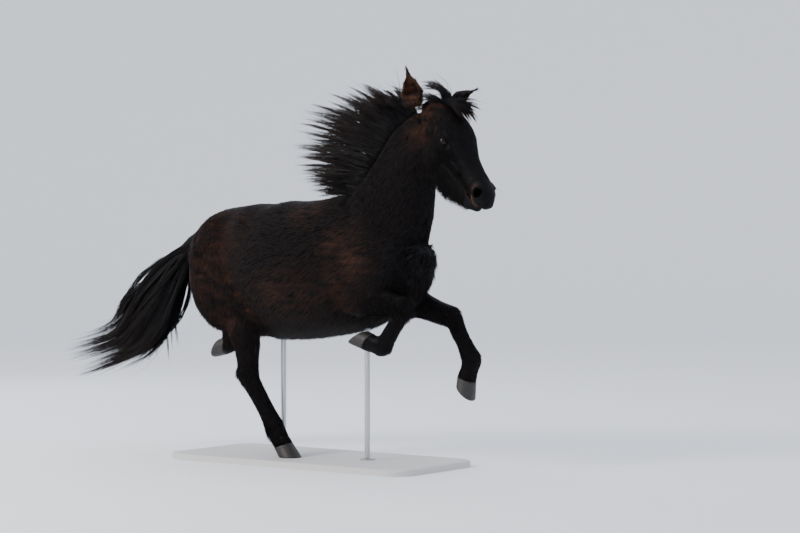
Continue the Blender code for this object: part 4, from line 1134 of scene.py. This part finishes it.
def clumped(roots, middles, tips, every, pull):
    # neighbouring tufts lean to one tip, as winter hair does
    tree = KDTree(len(roots) // every + 1)
    leads = np.arange(0, len(roots), every)
    for k, lead in enumerate(leads):
        tree.insert(roots[lead], k)
    tree.balance()
    nearest = leads[[tree.find(root)[1] for root in roots]]
    share = pull * draw.uniform(0.4, 1.2, len(roots))[:, None]
    lead = tips[nearest] + 0.35 * (roots - roots[nearest])
    return middles + 0.3 * share * (lead - tips), tips + share * (lead - tips)


# A tuft's corners and faces: bent, with two rings and a tip; short hair goes straight to its tip
bent = {
    "size": 7, "shares": (0.0, 0.0, 0.0, 0.45, 0.45, 0.45, 1.0),
    "faces": [(0, 1, 2), (0, 3, 1), (1, 3, 4), (1, 4, 2), (2, 4, 5), (2, 5, 0), (0, 5, 3),
              (3, 6, 4), (4, 6, 5), (5, 6, 3)],
    "spots": [(-0.5, 0), (0.5, 0), (0, 0), (-0.4, 0.5), (0.4, 0.5), (0, 0.5), (0, 1.0)],
}
straight = {
    "size": 4, "shares": (0.0, 0.0, 0.0, 1.0), "faces": [(0, 1, 2), (0, 3, 1), (1, 3, 2), (2, 3, 0)],
    "spots": [(-0.5, 0), (0.5, 0), (0, 0), (0, 1.0)],
}
shortRegions = ("face", "cheeks", "foreLegs", "hindLegs")


def tuftMesh(name, form, roots, normals, middles, tips, wide, markingAndShade, places):
    # three-sided tufts that taper to a point, closed at the root
    count = len(roots)
    along = unit(middles - roots)
    side = unit(np.cross(normals, along))
    lift = np.cross(along, side)
    half = (wide / 2)[:, None]
    thick = half * 2 * coat["thick"]
    base = roots - normals * coat["sunk"]
    if form is bent:
        rings = [base + side * half * 0.7, base - side * half * 0.7, base + lift * thick * 0.7,
                 middles + side * half, middles - side * half, middles + lift * thick]
    else:
        rings = [base + side * half, base - side * half, base + lift * thick]
    verts = np.stack([*rings, tips], 1)
    size = form["size"]
    mesh = meshOf(name, verts.reshape(-1, 3), repeated(form["faces"], size, count))
    storeColour(mesh, "marksAndShade", np.repeat(markingAndShade, size, 0))
    storeTuftTones(mesh, count, form["shares"])
    spots = np.array(form["spots"]) * coat["patch"]
    storeBakePlaces(mesh, (places[:, None] + spots[None]).reshape(-1, 2))
    return mesh


def meshOf(name, verts, triangles):
    mesh = bpy.data.meshes.new(name)
    mesh.vertices.add(len(verts))
    mesh.vertices.foreach_set("co", verts.astype(np.float32).ravel())
    mesh.loops.add(triangles.size)
    mesh.loops.foreach_set("vertex_index", triangles.astype(np.int32).ravel())
    mesh.polygons.add(len(triangles))
    mesh.polygons.foreach_set("loop_start", np.arange(0, triangles.size, 3, dtype=np.int32))
    mesh.update(calc_edges=True)
    return mesh


def repeated(faces, size, count):
    # the faces of one body, repeated for a row of bodies with the same number of corners
    return (np.array(faces)[None] + size * np.arange(count)[:, None, None]).reshape(-1, 3)


def storeTuftTones(mesh, count, shares):
    # each tuft's own random tone, and each corner's share of the way to the tip
    own = np.zeros((count, len(shares), 3))
    own[:, :, 0] = draw.random(count)[:, None]
    own[:, :, 1] = shares
    storeColour(mesh, "tuft", own.reshape(-1, 3))


def storeBakePlaces(mesh, perVertex):
    order = readRows(mesh.loops, "vertex_index", 1, np.int32)[:, 0]
    layer = mesh.uv_layers.new(name="OFBake")
    layer.uv.foreach_set("vector", np.clip(perVertex[order], 0.0, 1.0).astype(np.float32).ravel())


def unwrapped(mesh):
    # a light copy of the skin, unwrapped by its own shape: a search tree and the corners' places
    copy = newObject("unwrap", mesh.copy())
    fewer = copy.modifiers.new("fewer", "DECIMATE")
    fewer.ratio = min(1.0, unwrapping["faces"] / (2 * len(mesh.polygons)))
    light = evaluatedMesh(copy)
    copy.modifiers.clear()
    copy.data = light
    for one in bpy.context.selected_objects:
        one.select_set(False)
    copy.select_set(True)
    bpy.context.view_layer.objects.active = copy
    bpy.ops.object.mode_set(mode="EDIT")
    bpy.ops.mesh.select_all(action="SELECT")
    angle = math.radians(unwrapping["angle"])
    bpy.ops.uv.smart_project(angle_limit=angle, island_margin=unwrapping["margin"])
    bpy.ops.object.mode_set(mode="OBJECT")
    points, corners = pointsOf(light), trianglesOf(light)
    places = readRows(light.uv_layers.active.uv, "vector", 2)[trianglesOf(light, "loops")]
    tree = BVHTree.FromPolygons([tuple(p) for p in points], [tuple(c) for c in corners])
    bpy.data.objects.remove(copy)
    return tree, points[corners], places


def bakePlaces(roots, unwrap):
    # each root's place on the unwrap, inside the nearest triangle
    tree, corners, places = unwrap
    found = [tree.find_nearest(root) for root in roots]
    which = np.array([hit[2] for hit in found])
    at = np.array([hit[0] for hit in found])
    a, b, c = (corners[which][:, k] for k in range(3))
    v0, v1, v2 = b - a, c - a, at - a
    d00, d01, d11 = (v0 * v0).sum(1), (v0 * v1).sum(1), (v1 * v1).sum(1)
    d20, d21 = (v2 * v0).sum(1), (v2 * v1).sum(1)
    below = np.maximum(d00 * d11 - d01 * d01, 1e-18)
    v, w = (d11 * d20 - d01 * d21) / below, (d00 * d21 - d01 * d20) / below
    return (places[which] * np.stack([1 - v - w, v, w], 1)[:, :, None]).sum(1)


skinUnwrap = unwrapped(skinMesh)
print("unwrapped")


def growBodyCoat():
    roots, normals = scattered(skinMesh, coat["tufts"], skinDensity)
    way, sizes, shares = coatRules(roots)
    local = headPoints(roots)
    longer = ragged(roots, normals, local, shares)
    markingAndShade = coatMarksAndShade(roots)
    inHead = shares[:, headRegions].sum(1)
    small = 1 - 0.6 * markingAndShade[:, 2]
    for key in ("long", "wide", "deep"):
        sizes[key] *= small
    middles, tips = tuftShapes(roots, normals, way, sizes, longer, 0.75 - 0.45 * inHead)
    pull = coat["clumpPull"] * (1 - 0.7 * inHead)[:, None]
    middles, tips = clumped(roots, middles, tips, coat["clump"], pull)
    wide = sizes["wide"] * draw.uniform(0.7, 1.25, len(roots))
    places = bakePlaces(roots, skinUnwrap)
    region = shares.argmax(1)
    sideways = np.where(inHead > 0.5, local[:, 1], roots[:, 1])
    for k, name in enumerate(regions):
        for hand, word in ((-1, "right"), (1, "left")):
            pick = (region == k) & ((sideways >= 0) == (hand > 0))
            form = straight if name in shortRegions else bent
            rows = [values[pick] for values in (roots, normals, middles, tips, wide, markingAndShade, places)]
            mesh = tuftMesh(f"coat_{name}_{word}", form, *rows)
            asPiece(mesh, coatHair)
            print("coat", name, word, len(mesh.polygons))


def growEarCoat(name):
    mesh = earMeshes[name]
    unwrap = unwrapped(mesh)
    roots, normals = scattered(mesh, earCoat["tufts"], lambda centres: np.ones(len(centres)))
    axes = earAxes(name)
    turn = axes.to_3x3()
    count, local = len(roots), placed(roots, axes.inverted())
    share = local[:, 2] / earShape["length"]
    inward = normals @ np.array(turn @ Vector((0, 1, 0))) > 0.2
    edge = np.exp(-((np.abs(local[:, 0]) - earCoat["edgeAt"]) / earCoat["edgeWide"]) ** 2) * inward
    long = earCoat["long"] + earCoat["edge"] * edge + earCoat["foot"] * (1 - ease(0.1, 0.45, share))
    long = long + earCoat["tip"] * ease(0.80, 0.98, share)
    sizes = {"long": long, "deep": earCoat["deep"] + earCoat["edgeDeep"] * edge,
             "wide": np.full(count, earCoat["wide"]), "sag": np.zeros(count)}
    outward = np.outer(np.sign(local[:, 0]) * edge * 0.5, np.array(turn @ Vector((1, 0, 0))))
    way = np.array(turn @ Vector((0, 0.15, 1))) + outward
    middles, tips = tuftShapes(roots, normals, way, sizes, np.zeros(count), 0.6)
    pull = np.full((count, 1), earCoat["clumpPull"])
    middles, tips = clumped(roots, middles, tips, earCoat["clump"], pull)
    markingAndShade, places = earMarksAndShade(name, roots), bakePlaces(roots, unwrap)
    piece = tuftMesh(f"coat_{name}", bent, roots, normals, middles, tips, sizes["wide"], markingAndShade, places)
    asPiece(piece, coatHair)


growBodyCoat()
for name in ears:
    growEarCoat(name)
asPiece(skinMesh, hide, fleshNodes)
for name, mesh in earMeshes.items():
    asPiece(mesh, hide, [name])
print("coat grown")

# Long hair

mane = {
    # x and z where the hair is blown to, from the poll to the withers
    "tips": [(0.47, 1.770), (0.27, 1.795), (0.06, 1.720), (-0.07, 1.605), (-0.09, 1.475), (-0.05, 1.370),
             (0.03, 1.300)],
    "shares": (0.0, 0.93), "spread": 0.10, "locks": 205, "strands": 20, "wide": 0.0032, "lock": 0.0115,
    "wave": 0.005, "sway": 0.016, "pale": 0.5,
}
forelock = {
    "locks": 96, "strands": 13, "wide": 0.0027, "lock": 0.009, "wave": 0.003, "sway": 0.006, "pale": 0.4,
}
tail = {
    "top": [(-0.80, 0.0, 1.085), (-0.96, -0.02, 1.00), (-1.08, -0.07, 0.87), (-1.16, -0.12, 0.735),
            (-1.20, -0.18, 0.61), (-1.515, -0.272, 0.53)],
    "bottom": [(-0.82, -0.01, 1.02), (-0.84, -0.03, 0.875), (-0.87, -0.06, 0.71), (-0.94, -0.10, 0.565),
               (-1.08, -0.17, 0.435), (-1.41, -0.262, 0.32)],
    "spread": 0.07, "locks": 150, "strands": 26, "wide": 0.0036, "lock": 0.013, "wave": 0.007, "sway": 0.022,
    "pale": 0.25,
}
# Thin locks that hang out of the tail's underside: where each leaves the dock, and its tip
wisps = {
    "tips": [(0.35, (-0.80, -0.02, 0.72)), (0.45, (-0.84, -0.05, 0.66)), (0.55, (-0.89, -0.06, 0.56)),
             (0.60, (-0.91, -0.03, 0.50)), (0.70, (-0.93, -0.08, 0.42)), (0.75, (-0.98, -0.10, 0.44)),
             (0.40, (-0.83, -0.02, 0.79)), (0.50, (-0.87, -0.05, 0.61)), (0.65, (-0.90, -0.07, 0.48)),
             (0.80, (-1.02, -0.12, 0.41))],
    "strands": 16, "wide": 0.0030, "lock": 0.007, "wave": 0.006, "sway": 0.018,
}
hairRings = 8
# Of each lock's hairs some stray from it: how many of them, and how far at the tip
stray = {"share": 0.10, "reach": 0.035}
hairTip = 0.08  # share of a hair's width that is left at its tip
goldenStep = 0.618  # spreads the tail's locks evenly between its upper and its lower edge
# How high the locks that blow back over the poll arch, in turn
archHeights = (1.0, 0.45, 1.0, 0.30)


def bezier(points, share):
    while len(points) > 1:
        points = [a.lerp(b, share) for a, b in zip(points, points[1:])]
    return points[0]


def bentPath(bends):
    return [bezier(bends, k / (hairRings - 1)) for k in range(hairRings)]


def crestAt(share):
    here, near, far = (rowAt(neck, share + step) for step in (0.0, 0.04, -0.04))
    along = (Vector(near[:3]) - Vector(far[:3])).normalized()
    out = -along.cross(acrossAxis).normalized()
    return Vector(here[:3]) + out * here[4], out


def strandsOf(path, sizes):
    # the strands of one lock: spread at the root, drawn together to the tip, each with its own wave
    path = np.array(path)
    count, rings = sizes["strands"], len(path)
    t = np.linspace(0, 1, rings)
    along = unit(np.gradient(path, axis=0))
    side = unit(np.cross(along, (0.0, 1.0, 0.15)))
    other = np.cross(along, side)
    angle, reach = draw.uniform(0, 2 * math.pi, count), np.sqrt(draw.random(count))
    spread = sizes["lock"] * reach[:, None] * (0.65 + 0.65 * np.sin(math.pi * t) - 0.58 * t)[None]
    turns = 2 * math.pi * (draw.uniform(1.0, 2.2, (count, 1)) * t + draw.random((count, 1)))
    sway = sizes["sway"] * math.sin(2 * math.pi * draw.random()) * np.sin(2 * math.pi * 0.8 * t)
    wave = sizes["wave"] * np.sin(turns) * t + sway
    strays = draw.random((count, 1)) < stray["share"]
    off = strays * draw.normal(0, stray["reach"], (count, 1)) * t ** 2
    one = (np.cos(angle)[:, None] * spread + wave + off)[:, :, None] * side[None]
    two = (np.sin(angle)[:, None] * spread * 0.8 + off * 0.7)[:, :, None] * other[None]
    ends = draw.uniform(0.86, 1.0, count)
    cut = [np.stack([np.interp(t * end, t, path[:, axis]) for axis in range(3)], 1) for end in ends]
    return np.stack(cut) + one + two


def hairMesh(name, strands, wide, pale):
    # three-sided strands that taper to a point, closed at the root
    count, rings = strands.shape[:2]
    t = np.linspace(0, 1, rings)
    along = unit(np.gradient(strands, axis=1))
    side = unit(np.cross(along, np.array((0.2, 1.0, 0.1))))
    lift = np.cross(along, side)
    taper = (1 - t ** 2.2) * (1 - hairTip) + hairTip
    half = (wide / 2)[:, None, None] * taper[None, :, None]
    corners = [strands + side * half, strands - side * half * 0.5 + lift * half * 0.8,
               strands - side * half * 0.5 - lift * half * 0.8]
    verts = np.stack(corners, 2)[:, :-1].reshape(count, -1, 3)
    verts = np.concatenate([verts, strands[:, -1:]], 1)
    size = verts.shape[1]
    faces = [(0, 2, 1)]
    for r in range(rings - 2):
        for k in range(3):
            a, b = 3 * r + k, 3 * r + (k + 1) % 3
            faces += [(a, b, b + 3), (a, b + 3, a + 3)]
    last = 3 * (rings - 2)
    faces += [(last + k, last + (k + 1) % 3, size - 1) for k in range(3)]
    mesh = meshOf(name, verts.reshape(-1, 3), repeated(faces, size, count))
    run = np.concatenate([np.repeat(t[:-1], 3), [1.0]])
    storeTuftTones(mesh, count, pale * run ** 3)
    across = int(math.ceil(math.sqrt(count)))
    cell = np.stack([np.arange(count) % across, np.arange(count) // across], 1) / across
    spot = np.stack([np.tile((0.2, 0.5, 0.8), rings)[:size], run], 1)
    storeBakePlaces(mesh, (cell[:, None] + (0.1 + 0.8 * spot[None]) / across).reshape(-1, 2))
    return mesh


def maneLocks():
    paths = []
    low, high = mane["shares"]
    for i in range(mane["locks"]):
        share = (i + draw.random()) / mane["locks"]
        root, out = crestAt(low + (high - low) * share)
        x, z = rowAt(mane["tips"], share)
        hand = 1 if i % 2 else -1
        tip = root.lerp(Vector((x, root.y, z)), 1.08 - 0.45 * draw.random() ** 1.6)
        tip += Vector((0, hand * draw.uniform(0.0, 1.0) * mane["spread"], draw.uniform(-0.03, 0.015)))
        root += Vector((0, hand * draw.uniform(0.002, 0.018), 0)) - out * 0.024
        middle = root.lerp(tip, 0.55) + Vector((0, 0, draw.uniform(0.02, 0.06) * (1 - share * 0.6)))
        paths.append(bentPath([root, root + out * 0.085 + Vector((0, hand * 0.02, 0)), middle, tip]))
    return paths


def forelockLocks():
    paths = []
    place = headPlace()
    for i in range(forelock["locks"]):
        side = draw.uniform(-0.9, 1.0)
        root = Vector((0.002 + 0.014 * (i % 3), side * 0.024, -0.012))
        if i % 3 == 2:  # blown back over the poll
            tip = Vector((draw.uniform(-0.155, -0.11), side * 0.035 - 0.02, draw.uniform(-0.055, -0.01)))
            kind = i // 3 % 4
            if kind == 1:  # low over the poll
                tip = Vector((tip.x * 0.75, side * 0.045 - 0.045, tip.z - 0.050))
            elif kind == 3:  # down to the foot of the near ear
                tip = Vector((tip.x * 0.45, side * 0.020 - 0.072, tip.z - 0.100))
            rise = Vector((-0.01, 0, 0.085 * archHeights[kind]))
            over = tip.lerp(root, 0.5) + Vector((-0.02, 0, 0.080 * archHeights[kind]))
        elif i % 6 == 1:  # blown to the left, past the ear
            tip = Vector((draw.uniform(0.06, 0.13), draw.uniform(0.07, 0.125), draw.uniform(0.05, 0.10)))
            rise, over = Vector((0.01, 0.02, 0.060)), tip.lerp(root, 0.35) + Vector((0, 0, 0.030))
        else:
            tip = Vector((draw.uniform(0.10, 0.19), 0.030 + side * 0.065, draw.uniform(0.042, 0.065)))
            rise, over = Vector((0.02, side * 0.01, 0.075)), tip.lerp(root, 0.35) + Vector((0, 0, 0.045))
        paths.append([place @ point for point in bentPath([root, root + rise, over, tip])])
    return paths


def tailLocks():
    paths = []
    for i in range(tail["locks"]):
        level = (i * goldenStep + 0.3) % 1.0
        start, end = draw.uniform(0.25, 0.98), draw.uniform(0.74, 1.0)
        hand = 1 if i % 2 else -1
        spread = hand * draw.uniform(0.0, 1.0) * tail["spread"]
        root = Vector(rowAt(dock["line"], start))
        root += Vector((0, hand * draw.uniform(0, 0.015), draw.uniform(-0.01, 0.01)))
        first = start * 0.36
        path = []
        for k in range(hairRings):
            t = k / (hairRings - 1)
            share = first + (end - first) * t
            top, low = Vector(rowAt(tail["top"], share)), Vector(rowAt(tail["bottom"], share))
            fan = top.lerp(low, level) + Vector((0, spread * math.sin(math.pi * (0.15 + t * 0.6)), 0))
            leave = min(1.0, t * 2.2)
            path.append(root.lerp(fan, leave * leave * (3 - 2 * leave)))
        paths.append(path)
    return paths


def wispLocks():
    paths = []
    for start, end in wisps["tips"]:
        root, tip = Vector(rowAt(dock["line"], start)), Vector(end)
        paths.append(bentPath([root, root + Vector((-0.06, 0, -0.06)), tip + Vector((-0.02, 0, 0.12)), tip]))
    return paths


whiskers = {"count": 90, "long": (0.018, 0.045), "wide": 0.0009, "lashes": 34, "lash": 0.013, "pale": 0.0}


def whiskerDensity(centres):
    # on the chin, the lips and round the nostrils
    local = headPoints(centres)
    near = (local[:, 0] > 0.43) & (local[:, 0] < 0.60) & (np.abs(local[:, 1]) < 0.09)
    return near * (0.15 + 1.0 * ease(-0.12, -0.17, local[:, 2])) + 1e-9


def whiskerStrands():
    # stiff single hairs that stand off the muzzle and droop a little
    roots, normals = scattered(skinMesh, whiskers["count"], whiskerDensity)
    long = draw.uniform(*whiskers["long"], len(roots))[:, None, None]
    t = np.linspace(0, 1, hairRings)[None, :, None]
    droop = np.array((0.0, 0.0, -0.45)) * t ** 2
    return roots[:, None] - normals[:, None] * 0.001 + long * (normals[:, None] * t + droop)


def lashStrands():
    # lashes along the edge of each upper lid, out over the eye and bent down
    strands = []
    t = np.linspace(0, 1, hairRings)
    for hand in (-1, 1):
        for x in draw.uniform(-0.7, 0.75, whiskers["lashes"]) * eye["halfLength"]:
            z = lidOpening(x)[0]
            y = math.sqrt((eye["radius"] + eye["lid"]) ** 2 - x * x - z * z) - 0.001
            long = whiskers["lash"] * draw.uniform(0.6, 1.1)
            curve = np.stack([x + x * 6 * long * t, y + long * t, z + long * (0.10 * t - 0.55 * t ** 2)], 1)
            strands.append(placed(curve, eyePlace(hand)))
    return np.array(strands)


def growHair(name, strands, sizes, replaced=()):
    mesh = hairMesh(name, strands, sizes["wide"] * draw.uniform(0.6, 1.3, len(strands)), sizes["pale"])
    asPiece(mesh, longHair, replaced)
    print(name, len(mesh.polygons))


def allStrands(paths, sizes):
    return np.concatenate([strandsOf(path, sizes) for path in paths])


growHair("mane_hair", allStrands(maneLocks(), mane), mane)
growHair("forelock_hair", allStrands(forelockLocks(), forelock), forelock)
tailStrands = [allStrands(tailLocks(), tail), allStrands(wispLocks(), wisps)]
growHair("tail_hair", np.concatenate(tailStrands), tail, ["tail"])
growHair("whiskers", np.concatenate([whiskerStrands(), lashStrands()]), whiskers)

# Stand

rod = {"radius": 0.013, "foot": 0.036, "footHigh": 0.008, "edge": 0.002, "neck": 0.003, "sides": 64,
       "sharp": 40.0}


def spun(outline, steps):
    # an outline of radii and heights, turned once round the upright
    bm = bmesh.new()
    verts = [bm.verts.new((radius, 0, z)) for radius, z in outline]
    edges = [bm.edges.new(pair) for pair in zip(verts, verts[1:])]
    bmesh.ops.spin(bm, geom=verts + edges, axis=(0, 0, 1), cent=(0, 0, 0), angle=2 * math.pi, steps=steps,
                   use_merge=True)
    bmesh.ops.remove_doubles(bm, verts=bm.verts, dist=1e-5)
    return bm


def rodMesh(name):
    # a turned rod with a round foot
    low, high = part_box(name)
    centre = (low + high) / 2
    radius, foot, edge, bend = (rod[key] for key in ("radius", "foot", "edge", "neck"))
    footTop = low.z + rod["footHigh"]
    outline = [(0, low.z), (foot, low.z), (foot, footTop - edge), (foot - edge, footTop),
               (radius + bend, footTop), (radius, footTop + bend), (radius, high.z), (0, high.z)]
    bm = spun([(r, z - standTop) for r, z in outline], rod["sides"])
    bmesh.ops.recalc_face_normals(bm, faces=bm.faces)
    bmesh.ops.translate(bm, verts=bm.verts, vec=(centre.x, centre.y, 0))
    return asMesh(f"{name}_steel", bm)


for name in ("stand_rod_front", "stand_rod_rear"):
    piece = asPiece(rodMesh(name), steel, [name])
    piece.data.set_sharp_from_angle(angle=math.radians(rod["sharp"]))
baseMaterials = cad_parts["stand_base"].data.materials
baseMaterials.clear()
baseMaterials.append(paint)
print("stand")

# Studio

studio = {
    "floor": "#f3f4f6", "flat": 15.0, "rise": 5.0, "high": 9.0, "sides": 96, "room": "#e9effa",
    "roomLight": 1.3, "middle": (-0.1, 0.0, 1.0),
}
# Round lights: place, width, power and colour
lights = {
    "sky_light": ((-1.0, 1.0, 8.0), 6.0, 110, "#e9f1ff"),
    "near_light": ((-3.2, -6.6, 4.6), 3.0, 560, "#fff6ec"),
    "back_light": ((-6.0, 2.0, 3.5), 3.5, 90, "#dfeaff"),
}


def makeFloor():
    # a flat floor that curves up far out, so that no horizon line shows
    flat, rise = studio["flat"], studio["rise"]
    turns = [math.radians(a) for a in range(0, 91, 10)]
    outline = [(0, 0)] + [(flat + rise * math.sin(a), rise * (1 - math.cos(a))) for a in turns]
    outline.append((flat + rise, studio["high"]))
    mesh = asMesh("studio_floor", spun(outline, studio["sides"]))
    mesh.materials.append(newFinish("paleFloorPaint", Roughness=0.75, Base_Color=fromHex(studio["floor"]))[0])
    mesh.shade_smooth()
    floor = newObject("studio_floor", mesh)


def addSoftLight(name, place, size, power, colour):
    lamp = bpy.data.lights.new(name, "AREA")
    lamp.shape = "DISK"
    lamp.size = size
    lamp.energy = power
    lamp.color = fromHex(colour)[:3]
    light = newObject(name, lamp)
    light.location = place
    light.rotation_euler = (Vector(place) - Vector(studio["middle"])).to_track_quat("Z", "Y").to_euler()


makeFloor()
for name, values in lights.items():
    addSoftLight(name, *values)
world = bpy.data.worlds.new("pale_room")
world.use_nodes = True
background = world.node_tree.nodes["Background"]
background.inputs["Color"].default_value = fromHex(studio["room"])
background.inputs["Strength"].default_value = studio["roomLight"]
scene.world = world

# Camera

# The photo's own view: degrees, metres, and the focal length and the width in the photo's pixels
view = {
    "azimuth": 36.0, "down": 0.6, "distance": 10.0, "aim": (0.3236, 0.2352), "height": 1.034, "focal": 2041.0,
    "wide": 800.0, "sensor": 36.0, "farthest": 100.0,
}
turned, tipped = math.radians(view["azimuth"]), math.radians(view["down"])
toCamera = Vector((math.sin(turned) * math.cos(tipped), -math.cos(turned) * math.cos(tipped),
                   math.sin(tipped)))
camera = newObject("camera", bpy.data.cameras.new("camera"))
camera.data.sensor_width = view["sensor"]
camera.data.lens = view["focal"] / view["wide"] * view["sensor"]
camera.data.clip_end = view["farthest"]
camera.location = (view["aim"][0] + view["distance"] * math.sin(turned),
                   view["aim"][1] - view["distance"] * math.cos(turned), view["height"] + standTop)
camera.rotation_euler = toCamera.to_track_quat("Z", "Y").to_euler()
scene.camera = camera
